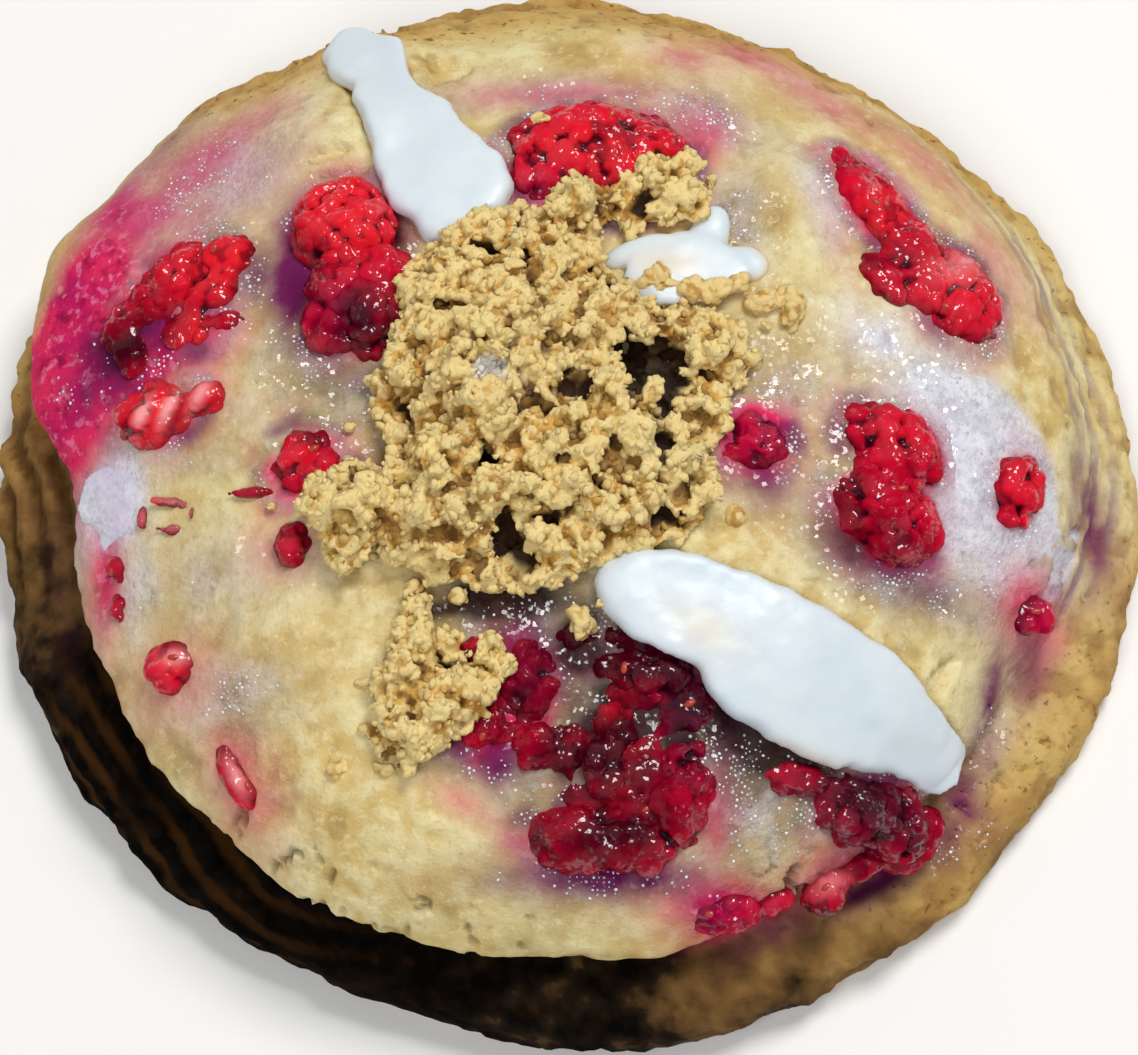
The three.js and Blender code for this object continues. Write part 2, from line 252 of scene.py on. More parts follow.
def set_masks(mesh, **masks):
    """Stores values from 0 to 1 for each point, which the mesh's material reads by name."""
    for name, values in masks.items():
        attribute = mesh.attributes.get(name) or mesh.attributes.new(name, "FLOAT", "POINT")
        attribute.data.foreach_set("value", np.clip(values, 0, 1).astype(np.float32))


def smooth_shade(mesh):
    mesh.polygons.foreach_set("use_smooth", np.ones(len(mesh.polygons), bool))
    mesh.update()


def edges_of(mesh):
    pairs = np.empty(2 * len(mesh.edges), np.int32)
    mesh.edges.foreach_get("vertices", pairs)
    return pairs.reshape(-1, 2)


def averaged(values, edges, rounds):
    """Values at a mesh's points, each averaged with its neighbours' so many times."""
    values = np.asarray(values, float)
    flat = values.reshape(len(values), -1).copy()
    count = np.bincount(edges.ravel(), minlength=len(flat))[:, None]
    for _ in range(rounds):
        total = flat.copy()
        for k in range(flat.shape[1]):
            total[:, k] += np.bincount(edges[:, 0], flat[edges[:, 1], k], len(flat))
            total[:, k] += np.bincount(edges[:, 1], flat[edges[:, 0], k], len(flat))
        flat = total / (1 + count)
    return flat.reshape(values.shape)


def out_by(arms, normals):
    """How far arms from the points reach out along their normals."""
    return np.einsum("ij,ij->i", arms, normals)


def merged_copy(node, name):
    """A copy of a CAD node's mesh whose loose triangles are joined, as a new object."""
    piece = add_object(name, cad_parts[node].data.copy())
    piece.data.materials.clear()
    weld = piece.modifiers.new("weld", "WELD")
    weld.merge_threshold = WELD_GAP * MM
    return applied(piece)


def applied(piece):
    """The piece with its modifiers made part of its mesh."""
    bpy.context.view_layer.update()
    graph = bpy.context.evaluated_depsgraph_get()
    mesh = bpy.data.meshes.new_from_object(piece.evaluated_get(graph))
    old = piece.data
    piece.modifiers.clear()
    piece.data = mesh
    mesh.name = piece.name
    bpy.data.meshes.remove(old)
    return piece


def remeshed(piece, voxel, rounds=0):
    """The piece made again as one closed skin of small squares, and smoothed so many times."""
    remesh = piece.modifiers.new("remesh", "REMESH")
    remesh.mode = "VOXEL"
    remesh.voxel_size = voxel * MM
    remesh.adaptivity = 0
    if rounds:
        smooth = piece.modifiers.new("smooth", "SMOOTH")
        smooth.iterations = rounds
        smooth.factor = 0.5
    return applied(piece)


def box_of(node):
    """A CAD node's lowest and highest corners, in millimetres."""
    return (np.array(corner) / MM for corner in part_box(node))


def tree_of(node):
    """A CAD node's faces, for distances in millimetres."""
    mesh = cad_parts[node].data
    corners = [tuple(v.co / MM) for v in mesh.vertices]
    return BVHTree.FromPolygons(corners, [tuple(p.vertices) for p in mesh.polygons])


def gaps(points, node, reach):
    """How far each point is outside a CAD node, below 0 inside it, and `reach` where it is further."""
    low, high = box_of(node)
    found = np.full(len(points), float(reach))
    near = np.all((points > low - reach) & (points < high + reach), axis=1)
    tree = tree_of(node)
    for i in np.flatnonzero(near):
        place = Vector(points[i])
        hit, normal, _, away = tree.find_nearest(place, reach)
        if hit is not None:
            found[i] = -away if (place - hit).dot(normal) < 0 else away
    return found


def least_gap(points, nodes, reach):
    return np.min([gaps(points, node, reach) for node in nodes], axis=0)


def finish_piece(piece, nodes=(), material=None):
    """Gives a finished piece its material, fastens it to the cookie, and hides the CAD nodes it stands for.
    """
    if material:
        piece.data.materials.clear()
        piece.data.materials.append(material)
    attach(piece, "root")
    if nodes:
        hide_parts(*nodes)


# ---- Shader nodes ---------------------------------------------------------------------------------------


def linear(red, green, blue):
    """A colour as it looks on screen, from 0 to 255, as the shader takes it."""
    parts = (red, green, blue)
    return tuple(((c / 255 + 0.055) / 1.055) ** 2.4 if c > 10 else c / 3295 for c in parts) + (1,)


class NodeTree:
    """Short ways to add and join nodes in a tree."""

    def node(self, kind, inputs=None, **settings):
        made = self.tree.nodes.new(kind)
        for name, value in settings.items():
            setattr(made, name, value)
        for key, value in (inputs or {}).items():
            self.join(value, made.inputs[key])
        return made

    def join(self, value, socket):
        if isinstance(value, bpy.types.NodeSocket):
            self.tree.links.new(value, socket)
        else:
            socket.default_value = value

    def maths(self, operation, a, b, clamp=False):
        return self.node("ShaderNodeMath", {0: a, 1: b}, operation=operation, use_clamp=clamp).outputs[0]


class Shader(NodeTree):
    """A new material, and short ways to add nodes to it."""

    def __init__(self, name):
        self.material = bpy.data.materials.new(name)
        self.material.use_nodes = True
        self.tree = self.material.node_tree
        self.tree.nodes.clear()
        self.output = self.node("ShaderNodeOutputMaterial")
        self.body = self.node("ShaderNodeBsdfPrincipled")
        self.tree.links.new(self.body.outputs["BSDF"], self.output.inputs["Surface"])
        self.place = self.node("ShaderNodeTexCoord").outputs["Object"]

    def set(self, **inputs):
        for name, value in inputs.items():
            self.join(value, self.body.inputs[name.replace("_", " ")])

    def mask(self, name):
        return self.node("ShaderNodeAttribute", attribute_name=name).outputs["Fac"]

    def mix(self, share, a, b):
        return self.node("ShaderNodeMix", {0: share, 6: a, 7: b}, data_type="RGBA").outputs[2]

    def spread(self, value, low, high, to_low=0.0, to_high=1.0):
        """Takes low..high to to_low..to_high, and holds it there."""
        inputs = {0: value, 1: low, 2: high, 3: to_low, 4: to_high}
        return self.node("ShaderNodeMapRange", inputs, interpolation_type="SMOOTHSTEP").outputs[0]

    def tinted(self, colour, *layers):
        """Lays colours over a colour, each where its value goes from low to high, up to a share."""
        for value, low, high, most, over in layers:
            colour = self.mix(self.spread(value, low, high, 0, most), colour, linear(*over))
        return colour

    def stained(self, colour, *layers):
        """Lays colours over a colour, each where its mask is, up to a share."""
        for name, most, over in layers:
            colour = self.mix(self.maths("MULTIPLY", self.mask(name), most), colour, linear(*over))
        return colour

    def noise(self, size, detail, roughness=0.55):
        """Noise whose bumps are about `size` millimetres apart."""
        inputs = {"Vector": self.place, "Scale": 1 / (size * MM), "Detail": detail, "Roughness": roughness}
        return self.node("ShaderNodeTexNoise", inputs).outputs[0]

    def facets(self, size, tilt):
        """Normals of small facets `size` millimetres across, each leaning its own way."""
        cells = self.node("ShaderNodeTexVoronoi", {"Vector": self.place, "Scale": 1 / (size * MM)})
        lean = {0: cells.outputs["Color"], 1: (0.5, 0.5, 0.5)}
        lean = self.node("ShaderNodeVectorMath", lean, operation="SUBTRACT").outputs[0]
        upright = self.node("ShaderNodeNewGeometry").outputs["Normal"]
        leaning = {0: lean, 1: (2 * tilt, 2 * tilt, 2 * tilt), 2: upright}
        leaning = self.node("ShaderNodeVectorMath", leaning, operation="MULTIPLY_ADD").outputs[0]
        return self.node("ShaderNodeVectorMath", {0: leaning}, operation="NORMALIZE").outputs[0]

    def colours(self, value, *stops):
        """A colour for each value, between (place, colour) stops."""
        made = self.node("ShaderNodeValToRGB", {0: value})
        elements = made.color_ramp.elements
        while len(elements) < len(stops):
            elements.new(0.5)
        for element, (at, colour) in zip(elements, stops):
            element.position = at
            element.color = linear(*colour)
        return made.outputs[0]

    def bump(self, height, depth, strength, normal=None):
        """Relief `depth` millimetres deep."""
        inputs = {"Height": height, "Distance": depth * MM, "Strength": strength}
        if normal is not None:
            inputs["Normal"] = normal
        return self.node("ShaderNodeBump", inputs).outputs[0]


# ---- Geometry nodes -------------------------------------------------------------------------------------


class Growth(NodeTree):
    """A new geometry node tree with named inputs, and short ways to add nodes to it."""

    def __init__(self, name, **inputs):
        self.tree = bpy.data.node_groups.new(name, "GeometryNodeTree")
        face = self.tree.interface
        face.new_socket("Geometry", in_out="OUTPUT", socket_type="NodeSocketGeometry")
        face.new_socket("Geometry", in_out="INPUT", socket_type="NodeSocketGeometry")
        for label, value in inputs.items():
            kind = "NodeSocketInt" if isinstance(value, int) else "NodeSocketFloat"
            face.new_socket(label.replace("_", " "), in_out="INPUT", socket_type=kind).default_value = value
        self.start = self.node("NodeGroupInput")
        self.end = self.node("NodeGroupOutput")
        self.base = self.start.outputs["Geometry"]

    def given(self, label):
        return self.start.outputs[label]

    def between(self, low, high, offset):
        """A random value for each point, from a seed of its own."""
        seed = self.node("FunctionNodeIntegerMath", {0: self.given("Seed"), 1: offset}).outputs[0]
        made = self.node("FunctionNodeRandomValue", data_type="FLOAT")
        for value, key in ((low, 2), (high, 3), (seed, "Seed")):
            self.join(value, made.inputs[key])
        return made.outputs[1]

    def ball(self, radius, faces):
        inputs = {"Radius": radius, "Subdivisions": {20: 1, 80: 2}[faces]}
        return self.node("GeometryNodeMeshIcoSphere", inputs).outputs["Mesh"]

    def sown(self, spacing, where):
        """Points set evenly over the faces where a mask is, and the turns that stand things up on them."""
        factor = self.node("GeometryNodeInputNamedAttribute", {"Name": where}, data_type="FLOAT")
        inputs = {
            "Mesh": self.base,
            "Distance Min": spacing,
            "Density Max": self.maths("MULTIPLY", self.maths("POWER", spacing, -2.0), 10.0),
            "Density Factor": factor.outputs["Attribute"],
            "Seed": self.given("Seed"),
        }
        made = self.node("GeometryNodeDistributePointsOnFaces", inputs, distribute_method="POISSON")
        return made.outputs["Points"], made.outputs["Rotation"]

    def placed(self, points, turns, shape, flatness):
        """The shape at each point, of a random size and turn, sunk by its share of the radius."""
        spin = {"X": self.between(-0.5, 0.5, 4), "Z": self.between(0.0, TURN, 3)}
        spin = self.node("ShaderNodeCombineXYZ", spin).outputs[0]
        spin = self.node("FunctionNodeEulerToRotation", {0: spin}).outputs[0]
        turn = self.node("FunctionNodeRotateRotation", {0: turns, 1: spin}, rotation_space="LOCAL")
        size = self.between(self.given("Least size"), self.given("Most size"), 5)
        across = self.maths("MULTIPLY", size, self.between(0.7, 1.0, 6))
        tall = self.maths("MULTIPLY", size, self.between(0.8 * flatness, flatness, 7))
        scale = self.node("ShaderNodeCombineXYZ", {0: size, 1: across, 2: tall})
        inputs = {"Points": points, "Instance": shape, "Rotation": turn.outputs[0], "Scale": scale.outputs[0]}
        put = self.node("GeometryNodeInstanceOnPoints", inputs)
        shift = self.node("ShaderNodeCombineXYZ", {2: self.maths("MULTIPLY", self.given("Sink"), -1.0)})
        inputs = {"Instances": put.outputs[0], "Translation": shift.outputs[0], "Local Space": True}
        return self.node("GeometryNodeTranslateInstances", inputs).outputs[0]

    def toned(self, instances):
        """Gives each instance its own tone from 0 to 1, which a material reads."""
        inputs = {"Geometry": instances, "Name": "tone", "Value": self.between(0.0, 1.0, 8)}
        made = self.node("GeometryNodeStoreNamedAttribute", inputs, data_type="FLOAT", domain="INSTANCE")
        return made.outputs[0]

    def finish(self, instances, material, keep_base):
        """Realizes the instances, with the base kept or dropped, and gives all of it the material."""
        real = self.node("GeometryNodeRealizeInstances", {"Geometry": instances}).outputs[0]
        if keep_base:
            both = self.node("GeometryNodeJoinGeometry", {0: self.base})
            self.join(real, both.inputs[0])
            real = both.outputs[0]
        smooth = self.node("GeometryNodeSetShadeSmooth", {"Geometry": real}).outputs[0]
        last = self.node("GeometryNodeSetMaterial", {"Geometry": smooth, "Material": material})
        self.join(last.outputs[0], self.end.inputs["Geometry"])


def grow(piece, growth, **inputs):
    """Runs a geometry node tree on the piece, with its named inputs set."""
    modifier = piece.modifiers.new(growth.tree.name, "NODES")
    modifier.node_group = growth.tree
    sockets = growth.tree.interface.items_tree
    labels = {item.name: item.identifier for item in sockets if item.in_out == "INPUT"}
    for name, value in inputs.items():
        modifier[labels[name.replace("_", " ")]] = value


def scatter(name, material, mask, faces=80, flatness=0.75, on_base=False):
    """A tree that sets round lumps over a surface where its mask is. The surface is kept with `on_base`,
    and else it is dropped and each lump has its own tone."""
    g = Growth(name, Spacing=0.002, Radius=0.001, Least_size=0.6, Most_size=1.2, Sink=0.0, Seed=0)
    points, turns = g.sown(g.given("Spacing"), mask)
    lumps = g.placed(points, turns, g.ball(g.given("Radius"), faces), flatness)
    g.finish(lumps if on_base else g.toned(lumps), material, on_base)
    return g


# ---- The dough's form -----------------------------------------------------------------------------------


def around(values, angle):
    """A smooth value between those met every so often round the cookie."""
    at = angle / TURN % 1 * len(values)
    i = np.floor(at).astype(int)
    t = at - i
    a, b, c, d = (np.take(values, i + k, mode="wrap") for k in (-1, 0, 1, 2))
    return b + t / 2 * (c - a + t * (2 * a - 5 * b + 4 * c - d + t * (3 * (b - c) + d - a)))


def patch(x, y, place_x, place_y, along, across, turn):
    """A soft oval patch: 1 in its middle, and near 0 outside it."""
    c, s = math.cos(math.radians(turn)), math.sin(math.radians(turn))
    u = ((x - place_x) * c + (y - place_y) * s) / along
    v = ((y - place_y) * c - (x - place_x) * s) / across
    return np.exp(-(u * u + v * v))


def dough_top(x, y):
    """The dough's upper surface over a place."""
    angle = np.arctan2(y, x)
    edge = around(CAP_EDGE_HEIGHTS, angle)
    share = np.minimum(1, np.hypot(x, y) / around(CAP_RADII, angle))
    dome = (1 - share**DOME_POWER) ** DOME_FALL
    swell = sum(rise * patch(x, y, *oval) for *oval, rise in SWELLINGS)
    return edge + (HEIGHT - edge) * dome + swell * (1 - share**8)


def dough_height(x, y):
    """The dough's upper surface over one place."""
    return dough_top(np.array([x]), np.array([y]))[0]


def side_curve(angle, steps):
    """The side from the cap's edge down to the underside: radius and height at each step and angle."""
    cap, foot = around(CAP_RADII, angle), around(FOOT_RADII, angle)
    edge = around(CAP_EDGE_HEIGHTS, angle)
    crease = cap - around(UNDERCUTS, angle)
    shoulder, rim = FOOT_TOP_SHARE * edge, FOOT_RIM_SHARE * edge
    knots = np.array([
        (cap, edge),
        (crease, edge + 0.6 * (shoulder - edge)),
        (crease + 0.4 * (foot - crease), shoulder),
        (crease + 0.86 * (foot - crease), shoulder + 0.4 * (rim - shoulder)),
        (foot, rim),
        (foot - 0.7, 0.25 * rim),
        (foot - 2.4, 0 * rim),
    ])
    rows = []
    for t in np.linspace(0, len(knots) - 1, steps + 1)[1:]:
        i = min(int(t), len(knots) - 2)
        t -= i
        a, b, c, d = (knots[min(max(i + k, 0), len(knots) - 1)] for k in (-1, 0, 1, 2))
        rows.append(b + t / 2 * (c - a + t * (2 * a - 5 * b + 4 * c - d + t * (3 * (b - c) + d - a))))
    return np.array(rows)


def grid_normals(grid):
    """Outward normals of a grid of points in rings."""
    round_it = np.roll(grid, -1, axis=1) - np.roll(grid, 1, axis=1)
    down_it = np.gradient(grid, axis=0)
    normals = np.cross(down_it, round_it)
    length = np.linalg.norm(normals, axis=2, keepdims=True)
    return normals / np.maximum(length, 1e-9)


def dough_grid(settings):
    """Rings of points over the cap, down the side and under the foot, and how far each is from the cap's
    edge along its ring line, above 0 below the edge."""
    angle = np.linspace(0, TURN, settings.steps, endpoint=False)
    cap = around(CAP_RADII, angle) + 0.25 * np.sin(9 * angle + 1) + 0.2 * np.sin(17 * angle)
    fine = np.linspace(0, 1, PROFILE_STEPS)
    profile = PROFILE_RISE * (1 - fine**DOME_POWER) ** DOME_FALL
    length = np.concatenate([[0], np.cumsum(np.hypot(np.diff(PROFILE_RADIUS * fine), np.diff(profile)))])
    shares = np.interp(np.linspace(0, length[-1], settings.cap_rings + 1), length, fine)
    inner = shares < COVERED_SHARE
    shares = np.concatenate([shares[inner][::4], shares[~inner]])[1:]
    rings = []
    bulge = BULGE_SIZE * near_angle(angle, *BULGE)
    c, s, plain = np.cos(angle), np.sin(angle), around(CAP_RADII, angle)
    for share in shares:
        reach = share * cap + share**8 * bulge
        z = dough_top(share * plain * c, share * plain * s)
        rings.append(np.stack([reach * c, reach * s, z], axis=1))
    for radius, z in side_curve(angle, settings.side_rings):
        radius = radius + (cap + bulge - plain) * ramp(z, 6, 11)
        rings.append(np.stack([radius * c, radius * s, z], axis=1))
    rim = rings[-1]
    for share in np.linspace(1, 0, settings.under_rings + 1)[1:-1]:
        rings.append(rim * [share, share, 1])
    grid = np.array(rings)
    step = np.linalg.norm(np.diff(grid, axis=0), axis=2)
    down = np.concatenate([np.zeros((1, settings.steps)), np.cumsum(step, axis=0)])
    return grid, down - down[len(shares) - 1]


# Places where juice has stained the dough: place, size along and across, turn, and strength.
CRIMSON_STAINS = (
    (-50, 9, 7, 8, 8, 2.6),
    (-46, 18, 4.5, 5, -25, 1.6),
    (-48, 3, 3.4, 5, 0, 1.8),
    (-42, 9, 6, 6, 0, 1.8),
    (-45, 25, 3, 3, 0, 0.7),
    (-44, -13, 1.6, 6, 0, 0.9),
    (-25.5, 14.5, 2, 4, 10, 0.8),
    (-22.5, 12, 2, 4, 0, 0.9),
    (14, -45, 6, 2.6, 0, 1.2),
    (25.5, -41, 6, 2.8, 35, 1.0),
    (33, -37, 4, 2.6, 40, 0.9),
    (44, -14.5, 2.6, 3, 0, 0.8),
    (-31, -33, 4, 1.6, -65, 0.6),
    (12.5, 29, 2, 2.6, 0, 0.7),
    (13, -37, 1.8, 4, 0, 0.7),
    (-10, -36.5, 3, 1.4, -30, 0.5),
)
PINK_STAINS = (
    (-45.4, 2, 2.4, 4, 0, 1.0),
    (-46.5, -3, 2, 6, 0, 0.9),
    (-44, 28, 6, 4, 55, 1.0),
    (-42.5, 24, 5, 5.5, -35, 1.1),
    (-37, 28.5, 7, 4, 45, 1.0),
    (-32, 33, 6, 3, 35, 0.7),
    (-32, 27, 6, 5, 35, 0.45),
    (-37, 22.5, 6, 4, 45, 0.6),
    (-45.2, -9, 1.8, 9, 0, 0.6),
    (12, 40.5, 5, 2.4, -10, 0.6),
    (18, 42, 7, 2.4, -15, 0.6),
    (25, 37.5, 9, 3, -35, 0.55),
    (34.5, 31.5, 8, 2.6, -45, 0.5),
    (41.8, 20, 2.6, 7, 25, 0.5),
    (25.5, 20, 1.6, 7, 15, 0.35),
    (44, -15, 4, 5, 0, 0.7),
    (-30, -34, 3.4, 6, 25, 0.5),
    (-36.5, -24, 5, 4, 0, 0.5),
    (-27, -12.5, 4, 3.5, 0, 0.4),
    (20, -3, 3, 5, 0, 0.45),
    (12, 31.5, 4, 4, 0, 0.7),
    (-1, 35.2, 10, 1.8, 0, 0.8),
    (6.5, 36, 4, 2, -10, 0.4),
)
VIOLET_STAINS = (
    (-30, 16, 4, 3.4, 0, 0.9),
    (-26.5, 15, 2.6, 6, 0, 1.4),
    (-24, 8.5, 3, 3, 0, 0.9),
    (-40, 33.5, 5, 1.6, 50, 0.5),
    (-40.5, 11.5, 4, 3.2, 0, 1.0),
    (-42.5, 6, 2.6, 2.4, 0, 0.9),
    (38, -32, 2.6, 3.4, 0, 1.0),
    (39.5, -28, 1.8, 4.5, -25, 1.0),
    (-43.5, 9, 4, 3.6, 30, 1.1),
    (-46.5, 5.5, 1.6, 2.6, 0, 0.7),
    (-37, 10, 3, 3, 0, 0.7),
    (40.5, -23, 1.1, 5, -8, 0.9),
    (44, -19.5, 2.4, 4, -20, 0.6),
    (51, -5, 2.6, 7, 5, 0.75),
    (47, -10, 2.6, 3, 0, 0.5),
    (3, -43, 9, 1.6, 0, 1.2),
    (-6.2, -33.2, 2.4, 3, 0, 0.9),
    (14.5, -30, 1.8, 6, 0, 1.1),
    (-9.5, -29, 2.4, 3.5, 30, 0.9),
    (20.5, -29.5, 5, 1.6, -30, 0.8),
    (29, -40, 6, 1.6, 28, 1.1),
    (20, -44.5, 5, 1.4, 28, 0.6),
    (36, -35, 3, 2.4, 40, 1.2),
    (-4, -22.5, 3, 2.4, 0, 0.9),
    (18, -6.3, 2.6, 3, 0, 0.7),
    (34, -14.5, 7, 2, -15, 0.4),
    (35.5, -3, 1.5, 7, 0, 0.6),
    (-46.8, -22, 1.4, 12, 12, 0.35),
)
# Juice gone nearly black in the deepest hollows, and painted shadow under the crumb heap's front edge, under
# the front cream's lower edge and in the dip left of the heap.
DEEP_STAINS_AND_SHADOWS = (
    (-6, -18.3, 6.5, 2.2, 0, 1.4),
    (1.6, -22.6, 3.6, 3.6, 0, 1.3),
    (-12, -19, 3.4, 1.6, 0, 0.9),
    (17, -30.6, 8, 3, -22, 1.7),
    (23.5, -34, 4, 1.6, -15, 1.0),
    (10.5, -26.5, 4, 3.4, 0, 1.0),
    (5, -30.5, 5.5, 7.5, 0, 1.7),
    (-9, -28, 2.2, 4.5, 0, 0.9),
    (-43.5, 9, 3, 3, 0, 0.5),
    (0, -34.3, 2.2, 1.6, 0, 0.8),
    (-16.6, 18, 1.4, 8, 0, 1.0),
    (-24.6, 11, 2.0, 3.6, 0, 0.7),
    (-17.5, 3.6, 3.4, 2, 0, 0.7),
    (-22, 3.5, 4, 3, 20, 0.4),
    (-16, -4.5, 2.4, 4, 0, 1.0),
    (26, -11.5, 2.6, 4.6, 35, 0.75),
    (9.5, -31, 3, 3, 0, 1.5),
    (33, -15.5, 5, 1.2, -15, 0.35),
    (29, -40.5, 5, 0.8, 30, 0.8),
    (9, -20.5, 4, 2, 0, 0.8),
)
# Places where the dough is wet and half clear.
DAMP_PATCHES = (
    (16, -35.5, 6, 7, 0, 1.3),
    (22, -37, 6, 5, 0, 0.9),
    (3, -43, 11, 2.2, 0, 1.1),
    (-4.5, -32.5, 4, 5, 0, 1.3),
    (-10, -32.5, 4.5, 2.6, 0, 1.3),
    (24.5, -10.5, 4, 6, 25, 1.2),
    (32, -15, 9, 3.4, -12, 1.4),
    (25, -9, 3, 6, 20, 1.3),
    (39, -13, 5, 4, 0, 0.9),
    (37.5, 1.5, 4, 9, 10, 0.9),
    (20, 2, 6, 7, 0, 0.9),
    (19, -6, 5, 4, 0, 0.9),
    (15.5, 20, 4, 7, 0, 1.1),
    (13, 33, 6, 4, -30, 1.2),
    (-41, -15, 4, 4, 0, 0.8),
    (-35, -3, 7, 2.4, 0, 0.7),
    (-31, 0.5, 7, 4, 10, 0.6),
    (-25, 6.5, 6, 6, 10, 1.1),
    (-34.5, -15.5, 7, 6, 0, 0.7),
    (-31, -26, 7, 4, 0, 0.8),
    (-45, 8.5, 4, 10, 0, 0.7),
    (-20, 1.5, 5, 6, 0, 1.1),
    (0, 35.5, 16, 2.6, 0, 0.9),
    (-30.5, 15, 5, 5, 0, 0.9),
    (-35, 27, 9, 7, 40, 1.0),
    (0, -21, 12, 5, 0, 1.1),
    (-25, -13, 7, 5, 10, 0.4),
    (33, 4, 5, 5, 0, 0.6),
    (37.5, -34, 4, 4, 0, 1.2),
    (40, -26, 2, 5, -10, 0.9),
    (29, -13, 6, 4, -20, 1.2),
)
# Places where cream cheese has melted into the dough.
MILK_PATCHES = (
    (29.5, 9, 5, 3.5, -30, 0.8),
    (34.5, 4, 5, 5, 0, 1.1),
    (37, -2, 4.5, 7, 0, 1.2),
    (36.5, -9, 4, 4.5, 0, 1.1),
    (40.5, -11, 5, 3.5, 0, 1.0),
    (24, 23, 1.8, 6, 15, 0.7),
    (-44.5, -5, 4, 6, 0, 1.0),
    (-43, 20, 3, 3, -30, 0.4),
    (37, -35.5, 3, 2, 20, 0.7),
    (40.5, -28, 1.6, 5, -20, 0.6),
    (-41.5, -13, 2.5, 6, 0, 0.5),
    (-31, 27, 6, 4, 40, 0.45),
    (-34, 12, 2, 3, 0, 0.4),
)
# Where the jam itself holds bubbles.
JAM_BUBBLES = (
    (-47.5, 7, 1.6, 2.2, 0, 1.0),
    (-45, 5, 1.6, 1, 0, 1.0),
    (-39.5, 7, 2, 1.6, 0, 1.0),
    (-31.5, 13.5, 1.2, 2.4, 0, 1.0),
    (3, -43, 7, 0.9, 0, 1.0),
    (-6, -34, 2.6, 1.6, -30, 0.9),
    (37, -36, 3.4, 1.4, 25, 1.0),
)
# Stretches round the cookie: the middle's angle and half the width, in degrees.
STRATA = (15, 48)  # dough split in layers
WALL = (196, 60)  # the folded side of the burnt foot
CRACKS = ((238, 15), (256, 6), (300, 10))  # where the cap's edge has cracked
DARK_FOOT = (325, 38)
# Painted shadow on the foot just under the cap's lip.
LIP_SHADOW = (190, 32)
CLEAN_EDGE = (148, 26)  # where the juice stops short of the cap's edge


def patches(x, y, ovals):
    """The strongest of several soft oval patches at each place."""
    return np.max([strength * patch(x, y, *oval) for *oval, strength in ovals], axis=0)


def near_angle(angle, middle, width):
    """1 at an angle round the cookie, down to 0 at `width` degrees from it."""
    away = np.abs((angle - math.radians(middle) + math.pi) % TURN - math.pi)
    return ramp(away, math.radians(width), math.radians(0.45 * width))


class DoughPoints:
    """The dough's points, and what is known of each: its place, its distance to the toppings, some random
    fields, and what the functions below add."""

    def __init__(self, grid, down):
        self.points = points = grid.reshape(-1, 3)
        self.normals = grid_normals(grid).reshape(-1, 3)
        self.x, self.y, self.z = points.T
        self.below_edge = down.ravel()
        self.angle = np.arctan2(self.y, self.x)
        self.topside = ramp(self.below_edge, 7, 1)
        self.underside = ramp(self.normals[:, 2], -0.6, -0.9)
        self.berry_gap = least_gap(points, BERRY_NODES, 14)
        self.crumb_gap = least_gap(points, CRUMB_NODES, 6)
        self.film_gap = least_gap(points, FILMS, 6)
        self.wander = layered_noise(points, 9, 5)
        self.blot = layered_noise(points, 4, 51)
        self.speck = layered_noise(points, 2.2, 53)


def sink_around(p, lip):
    """Under a berry or a cream the dough sinks, and round a berry it climbs the side, more in some places
    than others."""
    climb = lip * (0.55 + 0.9 * p.wander) * ramp(p.film_gap, -0.5, 2)
    sink = -1.3 * ramp(p.berry_gap, 0.1, -0.8) + climb * ramp(p.berry_gap, 3.2, 0.3)
    laid = np.minimum(least_gap(p.points, [n for n in CREAM_NODES if n not in FILMS], 6), 6)
    return sink - 1.1 * ramp(laid, 0.1, -0.6) + 0.2 * ramp(laid, 2, 0.3) - 0.4 * ramp(p.film_gap, -1, -2)


def wet_and_bake(p):
    """How damp, how browned and how scorched each point is, with painted shade mixed into the scorching on
    the foot's lower left, in the wall's folds and under the cap's lip; and the layers that run round the
    side.
    """
    angle, below_edge = p.angle, p.below_edge
    damp = patches(p.x, p.y, DAMP_PATCHES) * (0.85 + 0.5 * layered_noise(p.points, 3.5, 11))
    damp = np.maximum(damp, ramp(p.berry_gap, 3.4, 1.0) * (0.8 + 0.6 * layered_noise(p.points, 4, 12)))
    p.damp = np.clip(damp * p.topside, 0, 1)

    crust_edge = around(CRUST_HEIGHTS, angle) + 1.2 * p.wander
    p.crust = np.maximum(ramp(p.z, crust_edge + 2.5, crust_edge - 4), p.underside)
    p.crust *= ramp(below_edge, -14, -6)
    share = around(BURNT_AND_SHADE_SHARES, angle)
    p.charred = ramp(share, 0.5, 1)
    burnt = share * ramp(below_edge, 0.3, 3)
    burnt += 0.35 * p.wander * ramp(below_edge, 2, 5) * np.clip(2 * share, 0.1, 1)
    burnt += 0.32 * near_angle(angle, *DARK_FOOT) * ramp(below_edge, 5, 10) * (0.7 + 0.6 * p.wander)
    # Painted shadow under the cap's lip.
    burnt += 0.55 * near_angle(angle, *LIP_SHADOW) * ramp(below_edge, 0.3, 1.5) * ramp(below_edge, 6.5, 3)
    burnt = np.maximum(burnt * (1 - p.underside), 0.3 * p.underside * (1 + p.wander))

    p.strata = near_angle(angle, *STRATA) * ramp(below_edge, -8, -3) * ramp(below_edge, 11, 6)
    p.wall = near_angle(angle, *WALL) * ramp(below_edge, 0.5, 3) * (1 - p.underside)
    layer = below_edge + 1.4 * p.wander + 0.8 * np.sin(3 * angle + 0.7)
    p.stripe = 0.5 + 0.5 * np.sin(TURN * layer / 2.6 + 2 * p.blot)
    folded = layer + 0.5 * smooth_noise(p.points, 6, 41) + 2.4 * smooth_noise(p.points, 16, 43)
    p.fold = 0.5 + 0.5 * np.sin(TURN * folded / 3.3)
    p.patchy = ramp(smooth_noise(p.points, 7, 42), -0.5, 0.3)
    # Darker in the valleys of the wall's folds: painted shade.
    p.burnt = burnt + 0.13 * p.wall * (ramp(p.fold, 0.6, 0.15) - 0.3) * (0.4 + 0.6 * p.patchy)


